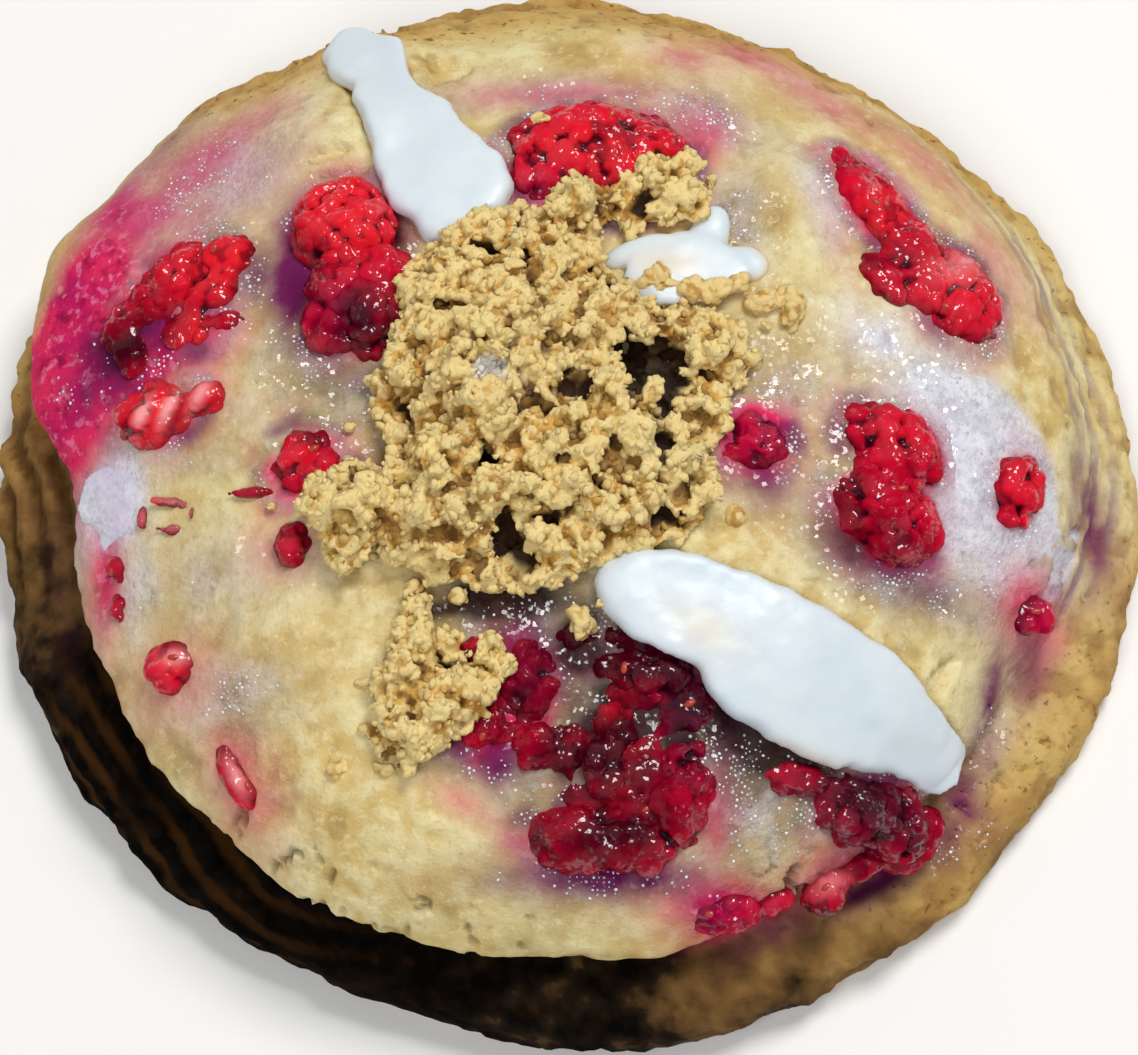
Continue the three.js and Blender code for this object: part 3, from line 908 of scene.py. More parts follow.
def relief_of(p):
    """How far each point stands out: layers, cracks, pits and the crumb of the dough. Also how far it
    does so in all but the broadest swells, as p.detail."""
    points, below_edge = p.points, p.below_edge
    cracked = np.max([near_angle(p.angle, *stretch) for stretch in CRACKS], axis=0)
    cracked *= ramp(below_edge, -9, -4) * ramp(below_edge, 4, 1.5)
    vein = np.abs(layered_noise(points * [1, 1, 0.6], 6, 61, layers=4))
    p.crack = cracked * ramp(vein, 0.05, 0.01)
    nearest, kind = cell_noise(points, 3.0, 71)
    pit = ramp(nearest, 0.22, 0.08) * (kind > 0.6) * (1 - p.damp) * ramp(below_edge, -18, -8)
    foot = ramp(below_edge, 1.5, 4)
    small, sort = cell_noise(points, 1.7, 72)
    p.pit = np.maximum(pit, ramp(small, 0.36, 0.1) * (sort > 0.4) * foot * 0.8)

    # Dry dough is crumbly, in soft plates and pebbles; damp dough is smoother.
    billow = 0.5 - 2 * np.abs(layered_noise(points, 4.5, 25, layers=4))
    pebble, _ = cell_noise(points + 0.5 * wobble(points, 2, 28), 1.9, 26)
    crumbly = np.clip(0.25 + 0.9 * ramp(layered_noise(points, 12, 27), -0.35, 0.3), 0, 1) * (1 - 0.8 * p.damp)
    crumbly = np.maximum(crumbly, 0.8 * p.crust)
    grain = layered_noise(points, 1.4, 21, layers=2)
    lumps = layered_noise(points, 5, 22)
    p.detail = (
        crumbly * (0.38 * billow + 0.34 * (0.55 - pebble))
        + 0.1 * grain * (1 - 0.5 * p.damp)
        + 0.25 * lumps * (1 + p.crust)
    )
    rough = 0.55 * layered_noise(points, 3.2, 24) + 0.25 * (0.55 - pebble)
    p.detail += foot * (1 - 0.7 * p.charred) * rough
    relief = (
        0.6 * layered_noise(points, 15, 23, layers=2)
        + p.detail
        + 0.26 * p.strata * (p.stripe - 0.5) * p.patchy
        + p.wall * (1 - 0.5 * p.charred) * (1.3 * (p.fold - 0.6) * (0.4 + 0.6 * p.patchy) + 0.7 * lumps)
        - 1.0 * p.crack
        - 0.5 * p.pit
    )
    relief *= ramp(p.crumb_gap, -3, 0) * 0.8 + 0.2
    return relief * (1 - p.underside) + 0.15 * lumps * p.underside


def dough_masks(p, points):
    """Where the dough's material shows its stains, its crust and its damp places, and where it paints shade
    in cracks, pits, dents and folds, under the cap's lip and on the foot's lower left, and light on the
    relief's crests. `points` are the dough's points with their relief."""
    x, y, blot, speck, burnt = p.x, p.y, p.blot, p.speck, p.burnt
    crimson = patches(x, y, CRIMSON_STAINS) * (1 + 0.3 * blot + 0.1 * speck)
    crimson = np.maximum(crimson, ramp(p.berry_gap, 1.3, 0.2) * (0.4 + 1.2 * blot))
    pink = patches(x, y, PINK_STAINS) * (1 + 0.4 * blot + 0.1 * speck)
    pink = np.maximum(pink, ramp(p.berry_gap, 4.5, 0.6) * (0.3 + 0.9 * blot))
    violet = patches(x, y, VIOLET_STAINS) * (1 + 0.5 * blot + 0.4 * speck)
    halo = ramp(p.berry_gap, 3, 0.8) * ramp(layered_noise(points, 5, 52), -0.1, 0.4) * 0.8
    milk = np.maximum(patches(x, y, MILK_PATCHES) * (1 + 0.5 * blot), ramp(p.film_gap, 1.8, -0.5))
    thin = np.clip(milk, 0, 1)
    bubbly = ramp(p.damp - crimson, 0.4, 0.9) * ramp(layered_noise(points, 3, 55), -0.2, 0.15)
    clean = ramp(burnt, 1.1, 0.5) * ramp(p.below_edge, 6, 3.5)
    clean *= 1 - 0.85 * near_angle(p.angle, *CLEAN_EDGE) * ramp(p.below_edge, -4.5, -1.5)
    return {
        "damp": p.damp,
        "crust": p.crust * (0.85 + 0.3 * blot),
        "burnt": burnt * (0.9 + 0.35 * speck),
        "crimson": crimson * clean,
        "pink": pink * (1 - 0.4 * thin) * clean,
        "violet": np.maximum(violet, halo) * (1 - 0.7 * thin) * ramp(burnt, 1.1, 0.5),
        "deep": patches(x, y, DEEP_STAINS_AND_SHADOWS) * (1 + 0.4 * blot + 0.3 * speck),
        "milk": milk * p.topside,
        "stripe": p.strata * ramp(p.stripe, 0.65, 0.3) * (0.65 + 0.6 * blot),
        # Painted shade in cracks, pits and the wall's fold valleys.
        "hollow_shade": 0.9 * p.crack + 0.5 * p.pit + p.wall * ramp(p.fold, 0.4, 0.1) * (0.2 + 0.6 * p.patchy),
        # High on the relief's crests and low in its dents, for painted light and shade.
        "low": 0.5 - 1.5 * p.detail,
        "bubbly": np.maximum(bubbly, patches(x, y, JAM_BUBBLES) * (0.5 + 1.5 * speck)) * (p.crumb_gap > 0),
    }


def make_dough(settings):
    """The dough with its relief and the masks that its material reads."""
    grid, down = dough_grid(settings)
    rings, steps = grid.shape[:2]
    p = DoughPoints(grid, down)
    wet_and_bake(p)
    lift = relief_of(p) + sink_around(p, settings.lip) * (1 - p.underside)
    points = p.points + p.normals * (lift * ramp(p.z, 0.6, 1.6))[:, None]
    points[:, 2] = np.maximum(points[:, 2], 0)
    masks = dough_masks(p, points)

    # A fan of triangles closes the middle of the top, and one the middle of the underside.
    last = len(points)
    crown = np.array([[0, 0, points[:steps, 2].mean()], [0, 0, 0]])
    ring = np.arange(steps)
    base = (rings - 1) * steps
    top_fan = np.stack([np.full(steps, last), ring, np.roll(ring, -1)], axis=1)
    under_fan = np.stack([np.full(steps, last + 1), base + np.roll(ring, -1), base + ring], axis=1)
    fans = np.concatenate([top_fan, under_fan])
    mesh = mesh_from("dough", np.concatenate([points, crown]), quad_rings(rings, steps), fans)
    smooth_shade(mesh)
    set_masks(mesh, **{name: np.append(values, [0, 0]) for name, values in masks.items()})
    return add_object("dough", mesh)


def quad_rings(rings, steps):
    """The faces between rings of points, turned outwards."""
    ring, step = np.meshgrid(np.arange(rings - 1), np.arange(steps), indexing="ij")
    after = (step + 1) % steps
    above, below = ring * steps, (ring + 1) * steps
    corners = [above + step, below + step, below + after, above + after]
    return np.stack(corners, axis=-1).reshape(-1, 4)


def melted_cream(s):
    """The milky colour of cream cheese that has melted into the dough, its fine pale and grey mottle partly
    painted glints on its bubbles.
    """
    milky = s.mix(s.spread(s.noise(3, 3), 0.4, 0.65), linear(230, 231, 237), linear(216, 214, 223))
    return s.tinted(
        milky,
        (s.noise(1.2, 3), 0.52, 0.68, 0.4, (186, 178, 186)),
        (s.noise(0.7, 2), 0.5, 0.62, 0.35, (176, 176, 188)),
    )


def add_glints(s, weight, size, tilt):
    """Makes a wet surface catch the light in small bright spots."""
    s.set(Coat_Weight=weight, Coat_Normal=s.facets(size, tilt), Coat_IOR=1.7, Coat_Roughness=0.12)


def dough_material(settings):
    s = Shader("baked dough")
    damp, crust, low, milk = s.mask("damp"), s.mask("crust"), s.mask("low"), s.mask("milk")
    fine = s.noise(1.1, 4, 0.7)
    pale = s.tinted(
        s.mix(s.spread(s.noise(9, 3), 0.4, 0.6), tuple(settings.pale), tuple(settings.golden)),
        (s.noise(6, 5, 0.65), 0.5, 0.7, 0.55, (203, 172, 106)),
        # Painted light on the relief's crests and painted shade in its dents.
        (low, 0.5, 0.15, 0.6, (239, 228, 180)),
        (low, 0.5, 0.9, 0.7, (181, 150, 89)),
        (fine, 0.54, 0.7, 0.5, (194, 165, 102)),
        (fine, 0.46, 0.32, 0.5, (242, 234, 186)),
    )
    # Damp dough: its grey-lavender tint and pale specks are partly painted reflection and glints of the wet
    # surface.
    wet = s.tinted(
        s.mix(s.spread(s.noise(4, 4), 0.38, 0.62), tuple(settings.damp), linear(196, 184, 182)),
        (s.noise(2, 4), 0.5, 0.68, 0.75, (118, 100, 84)),
        (s.noise(1.3, 3), 0.45, 0.34, 0.5, (214, 206, 210)),
    )
    colour = s.mix(s.maths("MULTIPLY", damp, 0.88), pale, wet)
    colour = s.stained(colour, ("stripe", 0.9, (158, 136, 140)))
    browned = s.tinted(
        s.colours(
            s.maths("ADD", s.maths("MULTIPLY", crust, 0.7), s.maths("MULTIPLY", s.noise(2, 5, 0.6), 0.3)),
            (0.1, (220, 198, 136)), (0.5, (210, 180, 114)), (0.8, (196, 156, 88)), (1.0, (160, 116, 58)),
        ),
        # Painted shade in the crust's dents.
        (low, 0.5, 0.9, 0.5, (140, 102, 52)),
        (fine, 0.55, 0.75, 0.4, (156, 114, 60)),
    )
    colour = s.mix(s.spread(crust, 0.02, 0.55), colour, browned)
    specked = s.tinted(
        colour,
        (s.noise(1.8, 4, 0.6), 0.52, 0.68, 0.55, (150, 104, 52)),
        (s.noise(0.9, 2), 0.62, 0.72, 1, (120, 76, 36)),
    )
    colour = s.mix(s.spread(crust, 0.05, 0.5, 0.15, 0.8), colour, specked)
    # The foot's browning, darkened further by painted shade on its lower left, in its folds and under the
    # cap's lip.
    burnt = s.colours(
        s.maths("ADD", s.maths("MULTIPLY", s.mask("burnt"), 0.75), s.maths("MULTIPLY", s.noise(2.2, 4), 0.3)),
        (0.3, (158, 120, 66)), (0.52, (122, 90, 50)), (0.74, (38, 27, 17)), (0.92, (10, 8, 6)),
    )
    colour = s.mix(s.spread(s.mask("burnt"), 0.12, 0.5), colour, burnt)
    colour = s.mix(milk, colour, melted_cream(s))
    colour = s.stained(colour, ("pink", 1, (206, 90, 126)))
    jam = s.tinted(
        s.mix(s.spread(s.noise(5, 3), 0.4, 0.62), linear(232, 46, 96), linear(202, 26, 98)),
        (s.noise(3, 3), 0.58, 0.72, 0.5, (132, 6, 58)),
        (s.noise(1.5, 4, 0.65), 0.5, 0.66, 0.5, (146, 6, 50)),
        (s.noise(1.1, 3), 0.54, 0.66, 0.7, (242, 128, 164)),
    )
    colour = s.stained(
        s.mix(s.mask("crimson"), colour, jam),
        ("violet", 1, (112, 26, 84)),
        # Dark juice and painted shadow.
        ("deep", 0.95, (42, 18, 24)),
        # Painted shade in cracks, pits and folds.
        ("hollow_shade", 0.75, (78, 48, 20)),
    )
    gloss = s.maths("SUBTRACT", damp, s.maths("MULTIPLY", s.mask("crimson"), 0.7), clamp=True)
    gloss = s.maths("ADD", gloss, s.maths("MULTIPLY", milk, 0.7), clamp=True)
    gloss = s.maths("MAXIMUM", gloss, s.mask("bubbly"))
    rough = s.spread(s.maths("ADD", gloss, s.maths("MULTIPLY", s.noise(1.2, 3), 0.3)), 0.25, 0.95, 0.7, 0.22)
    dry = s.bump(s.noise(0.8, 4, 0.65), 0.36, 0.75)
    s.set(
        Base_Color=colour,
        Roughness=s.maths("MAXIMUM", rough, s.mask("burnt")),
        Subsurface_Weight=0.15,
        Subsurface_Scale=1.5 * MM,
        Subsurface_Radius=(1.0, 0.6, 0.35),
        Specular_IOR_Level=0.05,
        Normal=s.bump(s.noise(0.6, 2), 0.35, s.maths("MULTIPLY", gloss, 0.8), dry),
    )
    clusters = s.spread(s.noise(2.2, 3), 0.44, 0.54)
    add_glints(s, s.maths("MULTIPLY", gloss, clusters), 0.4, 0.28)
    return s.material


# ---- Berries --------------------------------------------------------------------------------------------

# Patches of the berries: place, size along and across, turn, and strength.
# Darker berries, and painted shade in the narrow strips between the front berries' lobes.
DARK_BERRY_AND_SHADE = (
    (-20, 8.5, 3.6, 4, 0, 0.85),
    (-16.5, 7, 3, 5, 0, 0.85),
    (-25, 15, 1.5, 5, 20, 0.5),
    (-41.5, 9.5, 4.4, 3.6, 30, 1.0),
    (5, -22.5, 9.5, 4, 0, 1.8),
    (11.5, -26.5, 4, 3.6, 0, 1.4),
    (0.5, -31, 1.6, 7, 0, 0.8),
    (-2.5, -39.5, 4, 3, 0, 0.8),
    (6.5, -42, 9, 1.6, 0, 0.7),
    (0.5, -33, 1.4, 6, 10, 1.0),
    (7.2, -31, 0.8, 5, 0, 1.0),
    (4, -36.6, 7, 0.8, -5, 1.0),
    (3, -40, 9, 4, 0, 0.85),
    (10.5, -31, 3, 6, 0, 0.85),
    (-0.6, -33, 2.2, 6, 0, 0.9),
    (4, -32, 10, 9, 0, 0.94),
    (4, -39, 9, 4, 0, 0.85),
    (-4, -31, 4, 4, 0, 0.5),
    (5, -25.5, 8, 2, 0, 1.0),
    (-5, -27, 5, 7, 0, 0.65),
    (28, -35.5, 9, 5, -20, 0.92),
    (-8.5, -28, 2.5, 4, 0, 0.8),
    (-5, -22, 4, 2, 0, 0.7),
    (24, -33, 6, 2.4, -20, 0.6),
    (31, -38, 4, 2.6, 0, 0.5),
    (25, -7, 2.4, 6, 20, 0.9),
    (31, -12, 5, 2, -30, 0.5),
    (32.5, 17, 1.2, 2, -30, 0.4),
)
SCARLET_BERRY = (
    (-21.5, 20.5, 6, 5.5, 0, 1.0),
    (-34, 16.5, 6, 4, 30, 0.75),
    (29.5, 21.5, 3, 8, -30, 0.8),
    (37, 15, 4, 5, 0, 0.7),
    (4, -31.5, 1.8, 5, 0, 0.8),
    (3, 27, 8, 5, 0, 0.85),
    (-37, 2, 6, 4, 0, 1.0),
    (-34, 3, 4, 4, 0, 1.0),
    (-35.5, 9.5, 2.6, 2.4, 0, 0.9),
    (-25.5, -3.5, 3, 3, 0, 0.5),
    (42.5, -4, 4, 4, 0, 0.4),
    (31, -1.5, 3, 2.5, 0, 0.4),
    (-37, -22.5, 2, 2, 0, 0.8),
)
MAGENTA_BERRY = (
    (-3, 23, 4, 3, 0, 0.4),
    (11, -30, 3.5, 5, 0, 0.8),
    (-4.5, -25, 3, 3, 0, 0.6),
    (28, -36, 8, 4, 0, 0.6),
    (17, -2, 5, 5, 0, 0.7),
    (-22, 10.5, 3, 3, 0, 0.6),
    (13, -45, 5, 3, 0, 0.8),
    (44, -15, 4, 4, 0, 0.6),
)
# Pale open pulp, and one painted highlight on the front-right bit.
FLESH_AND_HIGHLIGHT_BERRY = (
    (-40.5, 1.5, 0.6, 1.6, -20, 1.1),
    (-38, 2, 0.5, 1.8, -25, 1.1),
    (-35, 3, 0.6, 1.6, -30, 1.0),
    (38, 18, 1.8, 3, -50, 0.5),
    (-38, -8.2, 3, 1.8, 0, 0.5),
    (-37, -22, 1.2, 0.8, 0, 0.8),
    (-31, -33.2, 1.8, 0.6, -65, 0.8),
    (24.5, -41.5, 1.6, 0.9, 35, 0.6),
)


def drupelets(points, size, seed):
    """Round drupelets pressed together: how high they stand from 0 to 1, and a value for each."""
    nearest, tone = cell_noise(points + 0.22 * size * wobble(points, size, seed + 7), size, seed)
    return np.sqrt(np.clip(1 - (nearest / 0.75) ** 2, 0, 1)), tone


def berry_skin(piece, size, height, seed):
    """Sets drupelets over a piece's skin, flatter where it is more crushed, and marks its colours, with
    painted shade in its clefts, between its drupelets and where it meets the dough, and painted light on the
    drupelets' tops.
    """
    mesh = piece.data
    points, normals = surface_of(mesh)
    crushed = ramp(layered_noise(points, 5, seed + 20), 0.3, -0.3)
    dome, tone = drupelets(points, size, seed)
    fine, _ = drupelets(points, 0.55 * size, seed + 1)
    lift = height * (0.3 + 0.7 * crushed) * (dome - 0.6) + 0.28 * height * (fine - 0.6)
    lift += 0.3 * layered_noise(points, 2, seed + 30)
    set_points(mesh, points + normals * lift[:, None])
    smooth_shade(mesh)
    x, y = points[:, 0], points[:, 1]
    blot = layered_noise(points, 3.5, seed + 40)
    points, normals = surface_of(mesh)
    edges = edges_of(mesh)
    near = averaged(points, edges, 12)
    # Painted shade in the skin's clefts, deeper in broad dips.
    cleft = 1.2 * out_by(near - points, normals) + 0.9 * out_by(averaged(near, edges, 50) - near, normals)
    # Where the skin meets the dough it is darkened: painted shade.
    low = ramp(points[:, 2] - dough_top(points[:, 0], points[:, 1]), 1.6, 0.1) * (0.75 + 0.5 * blot)
    # Pale open pulp on up-facing parts, one patch of it a painted highlight.
    open_face_and_highlight = patches(x, y, FLESH_AND_HIGHLIGHT_BERRY) * ramp(normals[:, 2], 0.35, 0.8)
    set_masks(
        mesh,
        cleft=cleft,
        dark=np.maximum(patches(x, y, DARK_BERRY_AND_SHADE) * (1 + 0.6 * blot), 0.8 * low),
        scarlet=patches(x, y, SCARLET_BERRY) * (1 + 0.5 * blot),
        magenta=patches(x, y, MAGENTA_BERRY) * (1 + 0.7 * blot),
        flesh=open_face_and_highlight * (1 + 0.3 * blot),
        # Painted light on the drupelets' tops and painted shade between them.
        rise=dome * (0.5 + 0.5 * crushed) + 0.25 * (fine - 0.5),
        tone=0.5 + 0.5 * tone,
    )


def make_berry(node, settings, index):
    """A crushed raspberry in place of a CAD berry."""
    piece = remeshed(merged_copy(node, node.replace("_", "-")), FORM_VOXEL, 6)
    points, normals = surface_of(piece.data)
    crease = np.abs(layered_noise(points, 6, 300 + index, layers=2))
    lift = 0.6 + 0.8 * layered_noise(points, 4.5, 200 + index) - 0.8 * ramp(crease, 0.14, 0.0)
    set_points(piece.data, points + normals * lift[:, None])
    piece = remeshed(piece, settings.voxel, 3)
    berry_skin(piece, settings.size, settings.height, 500 + 50 * index)
    return piece


def berry_material():
    s = Shader("crushed raspberry")
    rise = s.mask("rise")
    colour = s.stained(
        s.colours(s.noise(2.5, 3), (0.3, (176, 2, 34)), (0.7, (222, 12, 52))),
        ("tone", 0.7, (178, 4, 44)),
        ("scarlet", 1, (236, 34, 44)),
        ("magenta", 1, (152, 4, 66)),
    )
    # Painted light on the drupelets' tops and painted shade between them.
    colour = s.tinted(colour, (rise, 0.65, 0.95, 0.25, (232, 50, 78)), (rise, 0.5, 0.05, 0.6, (112, 0, 28)))
    # Darker berries, with painted shade between the front lobes and where the skin meets the dough.
    colour = s.stained(colour, ("dark", 0.92, (40, 1, 17)))
    # Painted shade in the clefts.
    colour = s.tinted(colour, (s.mask("cleft"), 0.02, 0.34, 0.95, (42, 0, 16)))
    s.set(
        # Pale open pulp, partly a painted highlight.
        Base_Color=s.stained(colour, ("flesh", 1, (246, 158, 160))),
        Roughness=s.spread(s.noise(1.5, 3), 0.3, 0.7, 0.26, 0.42),
        Subsurface_Weight=0.25,
        Subsurface_Scale=1.2 * MM,
        Subsurface_Radius=(1.0, 0.12, 0.12),
        Specular_IOR_Level=0.02,
        Coat_Weight=s.spread(s.noise(2, 3), 0.42, 0.56, 0.05, 1.0),
        Coat_Normal=s.facets(0.42, 0.32),
        Coat_IOR=1.6,
        Coat_Roughness=0.1,
        Normal=s.bump(s.noise(0.5, 4, 0.6), 0.14, 0.6),
    )
    return s.material


# Bits of crushed berry and jam: place, length, width, height, turn, and how far they stand proud.
BERRY_BITS = (
    (-26, -12.4, 4.4, 3.2, 2.6, 70, 1.3),
    (-37, -22.5, 6, 5, 3.4, 0, 1.5),
    (-31, -33, 7.5, 2.6, 2.6, -65, 1.1),
    (14, -45, 7.5, 4, 3, -5, 1.2),
    (19, -43.5, 3.5, 2.5, 2.2, 20, 0.8),
    (24, -42, 5.6, 4, 3.2, 35, 1.4),
    (27.5, -39.5, 4.4, 3.2, 2.8, 30, 1.2),
    (44, -15, 5, 4, 3, -20, 1.2),
    (-43, -12.4, 2.2, 3, 2, 0, 0.9),
    (-42.5, -16, 2, 3.4, 1.6, 0, 0.6),
    (-29.4, -7, 6.4, 0.9, 0.9, 2, 0.5),
    (-40.4, -8, 1.4, 2.6, 1.4, 10, 0.7),
    (-37.8, -7, 4.6, 0.8, 0.9, -8, 0.6),
    (-38, -9.5, 4.2, 0.8, 0.9, -4, 0.6),
    (-35.5, -8.4, 0.9, 1.8, 0.9, 0, 0.5),
    (10.6, -27.5, 7.5, 6, 4.4, 50, 1.3),
    (6, -26.8, 7, 4, 3.2, 0, 0.9),
    (-0.3, -30.5, 4.5, 8, 3.4, 0, 0.8),
    (7.6, -31, 4, 7, 3.4, 0, 0.9),
    (-3.2, -32.2, 4.4, 3.6, 3, 30, 1.3),
    (12, -34, 3.6, 7, 3, 0, 0.9),
    (2, -36, 7, 4, 3.2, 0, 0.9),
    (7.5, -21, 10, 4, 3.4, 8, 1.2),
    (0.5, -21.6, 4, 3, 2.4, 0, 0.7),
    (13.5, -25, 3, 4, 2.6, 40, 0.8),
    (-9.4, -26, 3, 5, 2.6, 0, 0.7),
    (-8, -22.6, 5, 3, 2.4, 0, 0.7),
    (20.5, -33.4, 7, 3.6, 3, -12, 0.9),
    (31.5, -38.5, 5, 3.6, 3, 0, 1.0),
    (33.8, -35.6, 3.6, 4.6, 3, 0, 1.1),
    (-41.4, 8.6, 5.4, 6, 3, 30, 1.1),
    (-32.5, 17.5, 6.5, 5, 4.5, 25, 1.9),
    (-41.5, 12, 8, 6, 5, 35, 1.7),
    (-36, 10.5, 6, 4, 3, 25, 1.3),
    (-38.5, 13.5, 7, 5, 3.6, 35, 1.5),
    (-34, 14, 6.5, 5, 4, 25, 1.7),
    (-32.5, 10.5, 4, 2.6, 2.2, 10, 0.9),
    (-34.5, 3, 5.5, 4, 3.4, 15, 1.1),
    (5.5, -30.5, 15, 19, 6, 0, 0.45),
    (4, -36, 14, 10, 6, 0, 0.45),
    (-5.5, -27, 7, 9, 4, -10, 0.2),
    (-3.4, -31.4, 5, 4, 4, 20, 1.6),
    (32, 19.5, 9, 7, 5, -55, 1.9),
    (33.5, 15, 6, 7, 4, -20, 1.5),
    (26.4, 28.4, 4, 3.4, 2.8, -40, 1.2),
    (30, 15.5, 6.5, 4.5, 3.6, -50, 1.4),
    (27.5, 25, 6, 5, 3.8, -60, 1.7),
    (29.6, -5, 8, 6.5, 4.4, -30, 1.9),
    (34, -3.4, 2.6, 3.4, 2, 0, 0.7),
    (-21, 13.5, 8, 9, 5.4, 20, 2.6),
    (-18, 14.5, 7, 7, 5.4, 0, 2.9),
    (-22.5, 9.5, 7, 6, 4.4, -20, 1.7),
    (-24.4, 13.6, 2.6, 4, 2.6, 0, 0.8),
    (-23.6, -5.4, 5.4, 5, 3.6, -45, 1.4),
)


def lumps_at(name, rows):
    """Rounded lumps set in the dough's top, as one object."""
    bpy.ops.mesh.primitive_ico_sphere_add(subdivisions=4, radius=0.5)
    template = bpy.context.object
    ball = points_of(template.data) * MM  # 1 across
    triangles = np.array([tuple(face.vertices) for face in template.data.polygons])
    bpy.data.objects.remove(template)
    points, faces = [], []
    for place_x, place_y, long, wide, tall, turn, proud in rows:
        c, s = math.cos(math.radians(turn)), math.sin(math.radians(turn))
        shape = ball * [long, wide, tall] @ np.array([[c, s, 0], [-s, c, 0], [0, 0, 1]])
        height = dough_height(place_x, place_y) + proud - tall / 2
        faces.append(triangles + len(points) * len(ball))
        points.append(shape + [place_x, place_y, height])
    return add_object(name, mesh_from(name, np.concatenate(points), np.empty((0, 4)), np.concatenate(faces)))


def make_bits(settings):
    """Bits of berry and jam round the berries and on the dough."""
    piece = remeshed(lumps_at("berry-bits", BERRY_BITS), 0.34, 2)
    points, normals = surface_of(piece.data)
    lift = 0.5 * layered_noise(points, 3, 901) - 0.3 * ramp(np.abs(layered_noise(points, 4, 902)), 0.12, 0)
    set_points(piece.data, points + normals * np.clip(lift, -0.35, 0.6)[:, None] * [1.1, 1.1, 0.5])
    piece = remeshed(piece, 1.15 * settings.voxel, 2)
    berry_skin(piece, 1.7, 0.5, 911)
    return piece


# ---- Creams ---------------------------------------------------------------------------------------------

# Stains of the creams: place, size along and across, turn, and strength.
OCHRE_CREAM = (
    (-1, -19, 3, 2, 0, 0.5),
    (12.5, -21.5, 3.5, 2, -30, 0.35),
    (16, -37, 6, 1.2, -20, 0.8),
    (23, -33.6, 8, 1.2, -15, 0.8),
    (9, 15, 3, 1.5, 0, 0.5),
)
LILAC_CREAM = (
    (39, 5, 6, 8, 0, 0.2),
    (34.5, -3, 2, 8, 0, 0.5),
    (41, -12, 6, 3, 0, 0.4),
    (-44, -2, 4, 4, 0, 0.7),
    (-43, -8, 3, 4, 0, 0.6),
    (-41, 0.5, 3, 3, 0, 0.6),
)
MIDDLE_THICKNESS, FILM_THICKNESS = 1.6, 0.7  # over the dough, in millimetres
# Thin ends of the middle cream: place, length, width, height, turn, and how far they stand proud.
CREAM_ENDS = (
    (6.5, 16.6, 8, 3, 2.4, 22, 1.5),
    (13.4, 19, 4, 6, 2.2, -15, 1.3),
    (16.6, 15.6, 5, 4, 2, -10, 1.1),
    (10.5, 16.4, 7, 5, 2.6, 15, 1.6),
)


def make_cream(node, settings, index):
    """A smear of cream cheese in place of a CAD cream: a flat slab with a soft, wavy edge."""
    piece = remeshed(merged_copy(node, node.replace("_", "-")), FORM_VOXEL, 4)
    points, normals = surface_of(piece.data)
    height = points[:, 2] - dough_top(points[:, 0], points[:, 1])
    film = node in FILMS
    spread = 0.5 + 1.5 * layered_noise(points * [1, 1, 0.3], 5, 600 + index) - 0.7 * film
    sideways = normals * [1, 1, 0]
    points = points + sideways * spread[:, None]
    level = FILM_THICKNESS if film else settings.thickness
    if node == "cream_middle":
        level = MIDDLE_THICKNESS
    flat = level * (1 - np.exp(-np.maximum(height, 0) / (0.42 * level)))
    points[:, 2] += np.where(height > 0, flat - height, 0)
    points[:, 2] += 0.5 * layered_noise(points * [1, 1, 0.2], 7, 640 + index) * ramp(height, 0, 1.5)
    points[:, 2] += film * (0.4 * layered_noise(points, 3, 660 + index) - 0.5)
    set_points(piece.data, points)
    if node == "cream_middle":
        piece = joined(piece, lumps_at("ends", CREAM_ENDS), piece.name)
    piece = remeshed(piece, settings.voxel, 6)
    points, normals = surface_of(piece.data)
    set_points(piece.data, points + normals * (0.1 * layered_noise(points, 2.2, 620 + index))[:, None])
    smooth_shade(piece.data)
    points = points_of(piece.data)
    x, y = points[:, 0], points[:, 1]
    berry = least_gap(points, BERRY_NODES, 3)
    height = points[:, 2] - dough_top(x, y)
    set_masks(
        piece.data,
        ochre=patches(x, y, OCHRE_CREAM) + 0.8 * ramp(height, 1.0, 0.2) * (not film),
        lilac=np.maximum(patches(x, y, LILAC_CREAM), 0.5 * ramp(berry, 2.5, 0)),
    )
    return piece


def film_material():
    s = Shader("melted cream")
    s.set(
        Base_Color=s.stained(melted_cream(s), ("lilac", 1, (204, 188, 214))),
        Roughness=0.35,
        Subsurface_Weight=0.2,
        Subsurface_Scale=1.5 * MM,
        Specular_IOR_Level=0.1,
        Normal=s.bump(s.noise(0.6, 2), 0.3, 0.6),
    )
    add_glints(s, s.spread(s.noise(2.2, 3), 0.42, 0.52), 0.4, 0.28)
    return s.material


def cream_material():
    s = Shader("cream cheese")
    white = s.mix(s.spread(s.noise(7, 3), 0.35, 0.7), linear(220, 229, 234), linear(213, 225, 233))
    s.set(
        Base_Color=s.stained(white, ("ochre", 1, (236, 208, 160)), ("lilac", 1, (214, 196, 224))),
        Roughness=s.spread(s.noise(3, 3), 0.3, 0.7, 0.3, 0.45),
        Subsurface_Weight=0.3,
        Subsurface_Scale=2 * MM,
        Subsurface_Radius=(1.0, 0.8, 0.6),
        Normal=s.bump(s.noise(1.6, 4), 0.12, 0.4),
    )
    return s.material


# ---- Crumbs ---------------------------------------------------------------------------------------------

